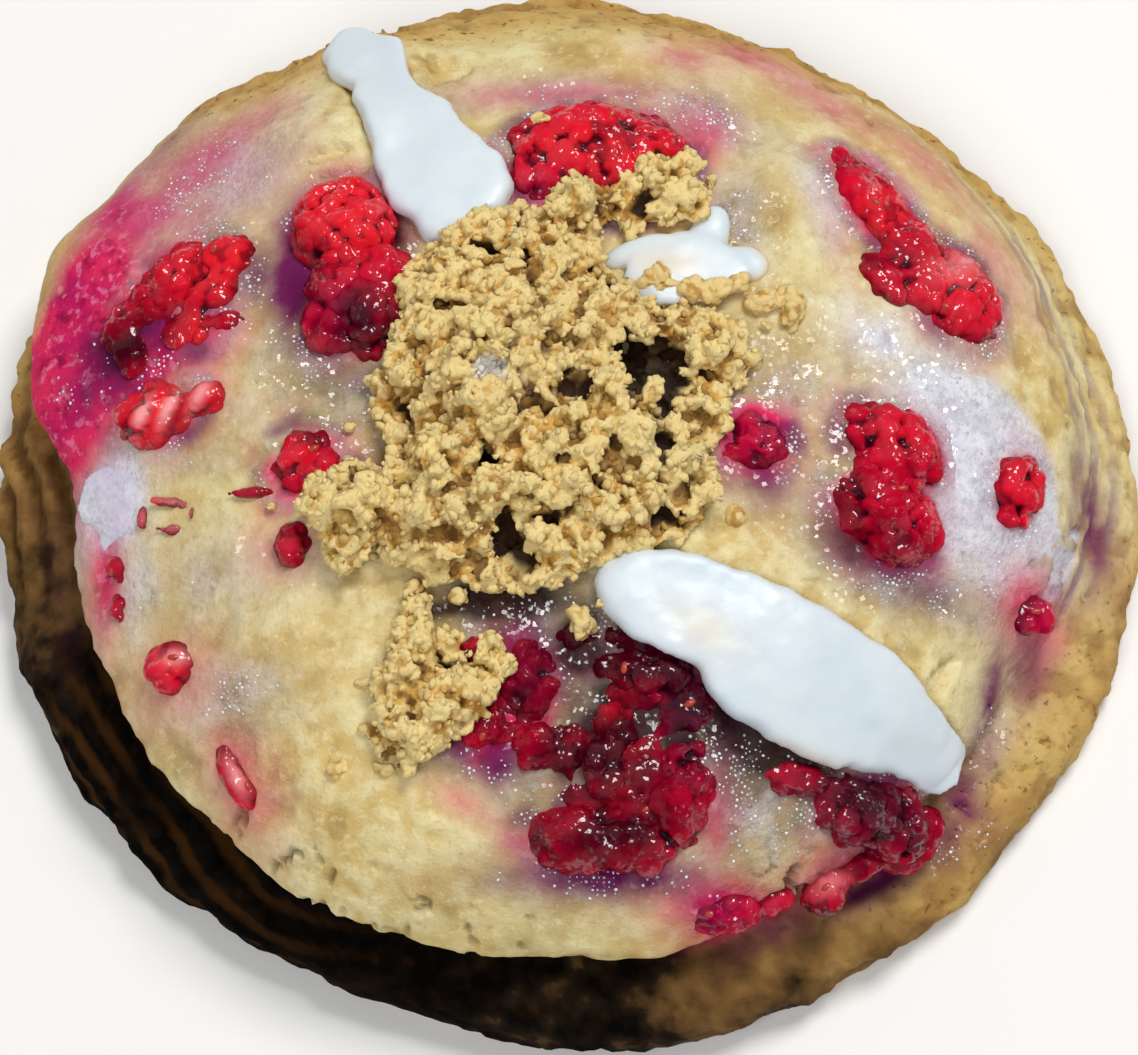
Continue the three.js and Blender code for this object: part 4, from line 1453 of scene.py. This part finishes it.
# Gaps between the clumps: place, size along and across, turn, and depth as a share of the heap's.
CRUMB_GAPS = (
    (6.5, 3, 4.4, 3, -15, 1.6),
    (3.5, 6, 3, 1.6, 20, 0.6),
    (5.5, -4, 3, 1.4, 5, 0.9),
    (-1.5, -12, 2.4, 1.2, 20, 1.3),
    (-5, -14, 1.5, 3, 10, 1.4),
    (-16.5, -5.5, 1.8, 2.6, 10, 1.3),
    (-7.5, 3, 2.4, 2, -20, 0.5),
    (7, 14.5, 5, 1.2, 25, 1.0),
    (-2.5, 20, 1.2, 2, 20, 1.0),
    (-12, 2, 2.4, 0.9, 40, 0.8),
    (9.5, -6, 1.2, 2.2, 20, 0.8),
    (-8, -6.5, 1.2, 2.4, 30, 0.8),
)
# Cream cheese that shows between the clumps.
CREAM_GLIMPSES = (
    (-7.5, 3, 2.6, 2.2, 0, 2.2),
    (10, 12, 2, 1.4, 0, 1.2),
)
# Crumbs that are browner, and crumbs that are paler and greyer.
TOASTY_CRUMBS = (
    (-1, 18, 9, 3.5, 8, 0.9),
    (8, 9, 6, 3.5, -20, 0.7),
    (-15, 8, 4, 4, 0, 0.5),
    (-6, -6, 4, 3, 0, 0.5),
)
ASHEN_CRUMBS = (
    (-3, 4.5, 6, 5.5, 0, 1.0),
    (9, -6, 6, 5, 0, 1.0),
    (-21, -7, 5, 4, 0, 0.8),
    (-12, -10, 5, 3.5, 0, 0.9),
    (-16, -24, 4, 7, 0, 0.5),
)


def heap_depths(points, node):
    """How far each point is under the top of a CAD heap, and how thick the heap is there."""
    tree = tree_of(node)
    depth, thick = np.zeros(len(points)), np.zeros(len(points))
    for i, (x, y, z) in enumerate(points):
        top = tree.ray_cast(Vector((x, y, ABOVE)), Vector((0, 0, -1)))[0]
        if top is not None:
            base = tree.ray_cast(Vector((x, y, BELOW)), Vector((0, 0, 1)))[0]
            depth[i] = top.z - z
            thick[i] = top.z - base.z
    return depth, thick


def make_crumbs(node, settings, chunks, grains, index):
    """Biscuit crumbs in place of a CAD heap: rough chunks over a smaller core, set with grains."""
    skin = remeshed(merged_copy(node, node + " skin"), 0.6, 2)
    points, normals = surface_of(skin.data)
    up = ramp(normals[:, 2], -0.3, 0.2)
    thick = averaged(heap_depths(points, node)[1], edges_of(skin.data), 6)
    gap = np.clip(patches(points[:, 0], points[:, 1], CRUMB_GAPS), 0, 1)
    inward = up * (settings.chunk_depth - 1.3 * layered_noise(points, 6, 701 + index))
    ragged = 2.4 * layered_noise(points * [1, 1, 0.3], 7, 705 + index) * (1 - up)
    points += normals * [1, 1, 0] * ragged[:, None]
    set_points(skin.data, points - normals * inward[:, None])
    set_masks(skin.data, solid=ramp(gap, 0.75, 0.5) * up)
    core = add_object(node + " core", skin.data.copy())
    drop = np.minimum(settings.core_depth, 0.4 * thick)
    drop += np.maximum(thick - drop - 0.6, 0) * ramp(gap, 0.3, 0.8)
    under = points.copy()
    under[:, 2] -= up * drop
    set_points(core.data, under)
    grow(skin, chunks, Spacing=settings.chunk_spacing * MM, Radius=settings.chunk_radius * MM,
         Least_size=0.45, Most_size=1.3, Sink=0.0, Seed=10 + index)
    piece = joined(applied(skin), core, node.replace("_", "-"))
    piece = remeshed(piece, 0.35)
    points, normals = surface_of(piece.data)
    lump, _ = drupelets(points, 2.4, 715 + index)
    valley = ramp(np.abs(layered_noise(points, 7, 718 + index, layers=2)), 0.12, 0)
    valley *= ramp(normals[:, 2], 0, 0.4)
    facet, _ = broken(points, 3.4, 760 + index)
    lift = 1.1 * layered_noise(points, 3.2, 710 + index) + 0.5 * (lump - 0.65) - 1.5 * valley
    lift += 0.8 * facet
    set_points(piece.data, points + normals * lift[:, None])
    set_masks(piece.data, solid=ramp(normals[:, 2], -0.5, -0.1))
    grow(piece, grains, Spacing=settings.grain_spacing * MM, Radius=settings.grain_radius * MM,
         Least_size=0.4, Most_size=1.3, Sink=0.22 * MM, Seed=20 + index)
    piece = remeshed(piece, settings.voxel)
    points, normals = surface_of(piece.data)
    small, _ = drupelets(points, 1.0, 725 + index)
    ridge = 0.3 - 2 * np.abs(layered_noise(points, 1.8, 735 + index, layers=2))
    facet, tone = broken(points, 1.7, 770 + index)
    lift = 0.15 * (small - 0.6) + 0.35 * layered_noise(points, 1.3, 720 + index) + 0.12 * ridge + 0.4 * facet
    set_points(piece.data, points + normals * lift[:, None])
    smooth_shade(piece.data)
    points, normals = surface_of(piece.data)
    edges = edges_of(piece.data)
    near = averaged(points, edges, 8)
    # How far each point lies in a dent: the material paints shade there and light on the crests.
    dent = 1.7 * out_by(near - points, normals) + 1.6 * out_by(averaged(near, edges, 60) - near, normals)
    depth = heap_depths(points, node)[0] + 0.6 * layered_noise(points, 2.5, 731)
    x, y = points[:, 0], points[:, 1]
    set_masks(
        piece.data,
        dent=0.4 + dent,
        # Painted shade deep in the heap's gaps.
        deep=ramp(depth, 2.2, 4.8) + 0.4 * ramp(dent, 0.6, 1.2),
        creamy=patches(x, y, CREAM_GLIMPSES) * ramp(depth, 0.8, 1.8),
        tone=tone,
        toasty=patches(x, y, TOASTY_CRUMBS),
        ashen=patches(x, y, ASHEN_CRUMBS),
        loose=ramp(depth, 4, 2.5) * ramp(normals[:, 2], -0.2, 0.3),
    )
    return piece


def make_grains(heap, settings, grains, index):
    """Fine loose grains over a finished heap."""
    piece = add_object(heap.name + "-grains", heap.data.copy())
    grow(piece, grains, Spacing=0.8 * settings.grain_spacing * MM, Radius=0.7 * settings.grain_radius * MM,
         Least_size=0.35, Most_size=1.4, Sink=0.0, Seed=30 + index)
    piece = applied(piece)
    points = points_of(piece.data)
    set_points(piece.data, points + 0.3 * wobble(points, 0.7, 750 + index))
    return piece


def joined(first, second, name):
    """Two objects' meshes as one new object."""
    grid = [points_of(first.data), points_of(second.data)]
    faces = []
    for shift, piece in zip((0, len(grid[0])), (first, second)):
        piece.data.calc_loop_triangles()
        corners = np.empty(3 * len(piece.data.loop_triangles), np.int32)
        piece.data.loop_triangles.foreach_get("vertices", corners)
        faces.append(corners.reshape(-1, 3) + shift)
        bpy.data.objects.remove(piece)
    return add_object(name, mesh_from(name, np.concatenate(grid), np.empty((0, 4)), np.concatenate(faces)))


def crumb_material():
    s = Shader("biscuit crumb")
    tone, dent = s.mask("tone"), s.mask("dent")
    colour = s.stained(
        s.colours(s.noise(4.5, 3), (0.35, (234, 196, 106)), (0.52, (224, 172, 80)), (0.68, (202, 148, 60))),
        ("ashen", s.spread(s.noise(4, 3), 0.35, 0.6), (208, 186, 124)),
        ("toasty", 0.7, (214, 162, 78)),
    )
    colour = s.tinted(
        colour,
        (s.noise(1.1, 3), 0.5, 0.64, 0.5, (246, 224, 158)),
        (s.noise(0.8, 2), 0.48, 0.34, 0.5, (184, 140, 72)),
        (tone, 0.4, 1, 0.7, (250, 228, 160)),
        (tone, 0.25, 0.02, 0.5, (192, 142, 72)),
        # Painted shade in the dents and painted light on the crests.
        (dent, 0.5, 1.0, 0.8, (140, 98, 42)),
        (dent, 0.38, 0.08, 0.8, (250, 226, 158)),
        # Painted shade deep in the gaps.
        (s.mask("deep"), 0.05, 0.8, 0.96, (46, 25, 20)),
    )
    s.set(
        Base_Color=s.stained(colour, ("creamy", 1, (250, 246, 238))),
        Roughness=0.85,
        Normal=s.bump(s.noise(0.35, 4, 0.7), 0.3, 0.9),
    )
    return s.material


# Crumbs that lie apart: place, length, width, height, turn, and how far they stand proud.
CRUMB_BITS = (
    (1, -21, 2.6, 3.2, 2.8, 20, 2.6),
    (3, -19, 1.6, 1.4, 1.4, 0, 2.2),
    (-3, 30.5, 2.2, 1.3, 1.2, 15, 3.4),
    (-14.5, -17.5, 2.2, 1.8, 1.6, 40, 1.3),
    (-10, -18, 1.8, 2.2, 1.6, 0, 1.3),
    (-21.5, -33.5, 2.8, 1.8, 1.5, 30, 1.1),
    (-17, -34, 2.2, 1.6, 1.3, -20, 1.0),
    (-28, -8.5, 1.6, 1.2, 1.1, 0, 0.9),
    (-20.5, -1, 1.4, 1.1, 1, 0, 0.8),
    (17.5, 5.5, 1.6, 1.3, 1.2, 30, 1.0),
    (13.5, 25, 1.4, 2, 1.3, 0, 1.2),
    (15.5, -10, 1.6, 1.3, 1.2, 0, 0.9),
    (8.5, 13, 3.4, 2.4, 2.4, 10, 2.8),
    (11.5, 12.5, 2.8, 2.2, 2.2, -20, 2.8),
    (14, 12, 3.4, 2.2, 2.4, 15, 2.6),
    (16, 13, 2.2, 1.6, 1.6, 0, 2),
    (18.5, 11.5, 3.2, 2.4, 2.4, 20, 1.9),
    (21, 12, 2.4, 1.8, 1.8, -15, 1.5),
    (21, 10, 2.4, 2.0, 2.0, 40, 1.6),
    (18.5, 9, 1.6, 1.3, 1.2, 0, 1.2),
    (-19, -26, 1.5, 1.2, 1, 0, 0.8),
)


def make_loose_crumbs():
    """Crumbs that have rolled off the heaps."""
    piece = remeshed(lumps_at("loose-crumbs", CRUMB_BITS), 0.2, 1)
    points, normals = surface_of(piece.data)
    lump, _ = drupelets(points, 0.8, 741)
    lift = 0.3 * (lump - 0.6) + 1.2 * layered_noise(points, 1.8, 742)
    set_points(piece.data, points + normals * lift[:, None])
    smooth_shade(piece.data)
    # Paler on the lumps' tops: painted light.
    set_masks(piece.data, dent=0.4 - 0.4 * lump, deep=np.zeros(len(points)))
    return piece


# ---- Beads of syrup, seeds ------------------------------------------------------------------------------


def make_beads(settings, dough, tree):
    """Fine bubbles and beads of syrup where the dough is damp, the whitest of them painted glints."""
    piece = add_object("syrup-beads", dough.data.copy())
    grow(piece, tree, Spacing=settings.spacing * MM, Radius=settings.radius * MM,
         Least_size=0.35, Most_size=1.2, Sink=0.02 * MM, Seed=7)
    return applied(piece)


def syrup_and_glint_material():
    s = Shader("syrup")
    # Most beads are grey like wet syrup; the near-white ones are painted glints.
    colour = s.mix(s.spread(s.mask("tone"), 0.45, 0.65), linear(196, 186, 190), linear(240, 243, 250))
    s.set(Base_Color=colour, Roughness=0.3, Subsurface_Weight=0.2, Subsurface_Scale=0.5 * MM)
    add_glints(s, 1.0, 0.3, 0.3)
    return s.material


# Seeds: place and turn.
SEEDS = (
    (11, -28, 30),
    (-8, -31, 70),
    (-2, -37, 10),
    (-37, -22, 0),
    (24, -42, 40),
    (26, -42.5, 20),
    (-30, -34, -60),
    (31, -7, 15),
    (13, -45.5, 0),
    (4, 31, 50),
    (-24, -3.5, 30),
    (-34, 18, 60),
    (36, 13, -20),
    (5, -25, 80),
    (7, -37.5, 25),
    (44.5, -15, 0),
    (29.5, 23.5, -40),
)


def make_seeds(berries):
    """Seeds that show in the crushed berries."""
    rows = []
    for x, y, turn in SEEDS:
        start = Vector((x, y, ABOVE)) * MM
        tops = [piece.ray_cast(start, Vector((0, 0, -1)))[1].z / MM for piece in berries]
        proud = max(tops) - dough_height(x, y) + 0.15
        rows.append((x, y, 1.3, 0.7, 0.6, turn, proud))
    piece = remeshed(lumps_at("seeds", rows), 0.12, 1)
    smooth_shade(piece.data)
    return piece


def seed_material():
    s = Shader("raspberry seed")
    colour = s.mix(s.noise(0.8, 3), linear(190, 78, 54), linear(160, 34, 40))
    s.set(Base_Color=colour, Roughness=0.25, Subsurface_Weight=0.2, Subsurface_Scale=0.5 * MM,
          Normal=s.bump(s.noise(0.3, 2), 0.08, 0.6))
    return s.material


# ---- Stage ----------------------------------------------------------------------------------------------

AIM = (-0.1, -5.2, 10)  # where the camera looks, in millimetres
SKY = (0.93, 0.96, 1.0, 1)
# Lights: place and width, in metres.
KEY_LIGHT = ((0.26, 0.34, 0.86), 0.42)
FRONT_LIGHT = ((-0.2, -0.5, 0.9), 0.6)


def area_light(name, place, size, power, colour=(1, 1, 1)):
    light = bpy.data.lights.new(name, "AREA")
    light.shape = "DISK"
    light.size = size
    light.energy = power
    light.color = colour
    lamp = bpy.data.objects.new(name, light)
    lamp.location = place
    aim = Vector((0, 0, 0.4 * cad_high.z)) - lamp.location
    lamp.rotation_euler = aim.to_track_quat("-Z", "Y").to_euler()
    bpy.context.scene.collection.objects.link(lamp)
    return lamp


def make_stage(settings):
    side = settings.floor_size
    floor_mesh = bpy.data.meshes.new("floor")
    corners = [(sx * side / 2, sy * side / 2, 0) for sx, sy in ((-1, -1), (1, -1), (1, 1), (-1, 1))]
    floor_mesh.from_pydata(corners, [], [(0, 1, 2, 3)])
    floor = add_object("floor", floor_mesh)
    s = Shader("pale floor")
    tint = s.mix(s.noise(60, 2), linear(247, 246, 244), linear(243, 242, 240))
    s.set(Base_Color=tint, Roughness=0.8)
    floor_mesh.materials.append(s.material)

    world = bpy.data.worlds.new("soft daylight")
    world.use_nodes = True
    background = world.node_tree.nodes["Background"]
    background.inputs["Color"].default_value = SKY
    background.inputs["Strength"].default_value = settings.fill
    scene = bpy.context.scene
    scene.world = world
    scene.view_settings.view_transform = "Standard"

    area_light("key light", *KEY_LIGHT, settings.key, (1.0, 0.99, 0.97))
    front = area_light("front light", *FRONT_LIGHT, settings.front)
    front.visible_glossy = False  # it fills the shade without greying the gloss

    camera = bpy.data.cameras.new("camera")
    camera.sensor_width = 36
    camera.lens = settings.lens
    eye = bpy.data.objects.new("camera", camera)
    target = Vector(AIM) * MM
    back = Vector((0, -math.cos(settings.elevation), math.sin(settings.elevation)))
    eye.location = target + settings.distance * back
    eye.rotation_euler = (-back).to_track_quat("-Z", "Y").to_euler()
    scene.collection.objects.link(eye)
    scene.camera = eye


# ---- Settings -------------------------------------------------------------------------------------------

Props = bpy.props


class StageSettings(bpy.types.PropertyGroup):
    """The camera, the lights and the floor."""

    elevation: Props.FloatProperty(
        name="Elevation", description="Angle of the view above the horizon", default=math.radians(70),
        subtype="ANGLE")
    distance: Props.FloatProperty(
        name="Distance", description="From the camera to the cookie", default=0.42, unit="LENGTH")
    lens: Props.FloatProperty(name="Lens", description="Focal length in millimetres", default=136.9)
    floor_size: Props.FloatProperty(
        name="Floor", description="Side of the square floor", default=3.0, unit="LENGTH")
    key: Props.FloatProperty(
        name="Key light", description="Power of the main light", default=5.7, unit="POWER")
    front: Props.FloatProperty(
        name="Front light", description="Power of the light in front", default=4.4, unit="POWER")
    fill: Props.FloatProperty(name="Fill", description="Strength of the light from all round", default=0.22)


class DoughSettings(bpy.types.PropertyGroup):
    """The dough's mesh and colours."""

    steps: Props.IntProperty(name="Steps round", description="Points in each ring", default=600)
    cap_rings: Props.IntProperty(name="Cap rings", description="Rings over the cap", default=124)
    side_rings: Props.IntProperty(name="Side rings", description="Rings down the side", default=48)
    under_rings: Props.IntProperty(name="Under rings", description="Rings under the foot", default=10)
    lip: Props.FloatProperty(name="Lip", description="Rise of dough round a berry, in mm", default=0.55)
    pale: Props.FloatVectorProperty(
        name="Pale dough", description="Colour of the cap", default=linear(223, 206, 151), size=4,
        subtype="COLOR")
    golden: Props.FloatVectorProperty(
        name="Golden dough", description="Second colour of the cap", default=linear(217, 189, 122), size=4,
        subtype="COLOR")
    damp: Props.FloatVectorProperty(
        name="Damp dough", description="Colour where juice has soaked in", default=linear(152, 134, 106),
        size=4, subtype="COLOR")


class BerrySettings(bpy.types.PropertyGroup):
    """The raspberries' drupelets."""

    size: Props.FloatProperty(name="Size", description="Across a drupelet, in mm", default=2.1)
    height: Props.FloatProperty(name="Height", description="Of a drupelet, in mm", default=0.75)
    voxel: Props.FloatProperty(name="Voxel", description="Size of the mesh's squares, in mm", default=0.2)


class CreamSettings(bpy.types.PropertyGroup):
    """The cream cheese."""

    thickness: Props.FloatProperty(name="Thickness", description="Over the dough, in mm", default=2.8)
    voxel: Props.FloatProperty(name="Voxel", description="Size of the mesh's squares, in mm", default=0.36)


class CrumbSettings(bpy.types.PropertyGroup):
    """The biscuit crumbs."""

    core_depth: Props.FloatProperty(
        name="Core depth", description="Core under the heap's skin, in mm", default=1.9)
    chunk_depth: Props.FloatProperty(
        name="Chunk depth", description="Chunks' middles under the heap's skin, in mm", default=1.6)
    chunk_spacing: Props.FloatProperty(name="Chunk spacing", description="Between chunks, in mm", default=2.9)
    chunk_radius: Props.FloatProperty(name="Chunk radius", description="Of a chunk, in mm", default=2.15)
    grain_spacing: Props.FloatProperty(name="Grain spacing", description="Between grains, in mm", default=1.1)
    grain_radius: Props.FloatProperty(name="Grain radius", description="Of a grain, in mm", default=0.6)
    voxel: Props.FloatProperty(name="Voxel", description="Size of the mesh's squares, in mm", default=0.26)


class BeadSettings(bpy.types.PropertyGroup):
    """The beads of syrup."""

    spacing: Props.FloatProperty(name="Spacing", description="Between beads, in mm", default=0.43)
    radius: Props.FloatProperty(name="Radius", description="Of a bead, in mm", default=0.18)


# ---- Operators ------------------------------------------------------------------------------------------


class COOKIE_OT_stage(bpy.types.Operator):
    """Makes the floor, the lights and the camera"""

    bl_idname = "cookie.stage"
    bl_label = "Stage"

    def execute(self, context):
        make_stage(context.scene.cookie_stage)
        return {"FINISHED"}


class COOKIE_OT_dough(bpy.types.Operator):
    """Makes the dough: the cap, its slumped edge and the browned foot"""

    bl_idname = "cookie.dough"
    bl_label = "Dough"

    def execute(self, context):
        settings = context.scene.cookie_dough
        dough = make_dough(settings)
        finish_piece(dough, ["cookie"], dough_material(settings))
        return {"FINISHED"}


class COOKIE_OT_berries(bpy.types.Operator):
    """Makes the crushed raspberries, their bits and their seeds"""

    bl_idname = "cookie.berries"
    bl_label = "Raspberries"

    def execute(self, context):
        settings = context.scene.cookie_berries
        skin = berry_material()
        berries = [make_berry(node, settings, index) for index, node in enumerate(BERRY_NODES)]
        bits = make_bits(settings)
        seeds = make_seeds([*berries, bits])
        for piece, node in zip(berries, BERRY_NODES):
            finish_piece(piece, [node], skin)
        finish_piece(bits, material=skin)
        finish_piece(seeds, material=seed_material())
        return {"FINISHED"}


class COOKIE_OT_creams(bpy.types.Operator):
    """Makes the smears of cream cheese"""

    bl_idname = "cookie.creams"
    bl_label = "Cream cheese"

    def execute(self, context):
        settings = context.scene.cookie_creams
        white, melted = cream_material(), film_material()
        for index, node in enumerate(CREAM_NODES):
            cream = make_cream(node, settings, index)
            finish_piece(cream, [node], melted if node in FILMS else white)
        return {"FINISHED"}


class COOKIE_OT_crumbs(bpy.types.Operator):
    """Makes the heaps of biscuit crumbs"""

    bl_idname = "cookie.crumbs"
    bl_label = "Biscuit crumbs"

    def execute(self, context):
        settings = context.scene.cookie_crumbs
        biscuit = crumb_material()
        chunks = scatter("chunks", biscuit, "solid", flatness=0.85)
        grains = scatter("grains", biscuit, "solid", faces=20, flatness=0.95, on_base=True)
        fine = scatter("fine grains", biscuit, "loose", faces=20, flatness=1.0)
        for index, node in enumerate(CRUMB_NODES):
            heap = make_crumbs(node, settings, chunks, grains, index)
            loose = make_grains(heap, settings, fine, index)
            finish_piece(heap, [node], biscuit)
            finish_piece(loose)
        finish_piece(make_loose_crumbs(), material=biscuit)
        return {"FINISHED"}


class COOKIE_OT_beads(bpy.types.Operator):
    """Makes the beads of syrup on the damp dough"""

    bl_idname = "cookie.beads"
    bl_label = "Syrup beads"

    def execute(self, context):
        settings = context.scene.cookie_beads
        dough = bpy.data.objects["dough"]
        tree = scatter("beads", syrup_and_glint_material(), "bubbly", faces=20, flatness=0.8)
        piece = make_beads(settings, dough, tree)
        finish_piece(piece)
        return {"FINISHED"}


class COOKIE_PT_panel(bpy.types.Panel):
    """Lists the cookie's pieces"""

    bl_idname = "COOKIE_PT_panel"
    bl_label = "Cheesecake cookie"
    bl_space_type = "VIEW_3D"
    bl_region_type = "UI"
    bl_category = "Cookie"

    def draw(self, context):
        for maker in MAKERS:
            self.layout.operator(maker.bl_idname)


MAKERS = (
    COOKIE_OT_stage,
    COOKIE_OT_dough,
    COOKIE_OT_berries,
    COOKIE_OT_creams,
    COOKIE_OT_crumbs,
    COOKIE_OT_beads,
)
SETTINGS = {
    "cookie_stage": StageSettings,
    "cookie_dough": DoughSettings,
    "cookie_berries": BerrySettings,
    "cookie_creams": CreamSettings,
    "cookie_crumbs": CrumbSettings,
    "cookie_beads": BeadSettings,
}


def register():
    for kind in (*SETTINGS.values(), *MAKERS, COOKIE_PT_panel):
        bpy.utils.register_class(kind)
    for name, kind in SETTINGS.items():
        setattr(bpy.types.Scene, name, Props.PointerProperty(type=kind))


def unregister():
    for name in SETTINGS:
        delattr(bpy.types.Scene, name)
    for kind in reversed((*SETTINGS.values(), *MAKERS, COOKIE_PT_panel)):
        bpy.utils.unregister_class(kind)


def main():
    register()
    for maker in MAKERS:
        group, name = maker.bl_idname.split(".")
        getattr(getattr(bpy.ops, group), name)()


if __name__ == "__main__":
    main()
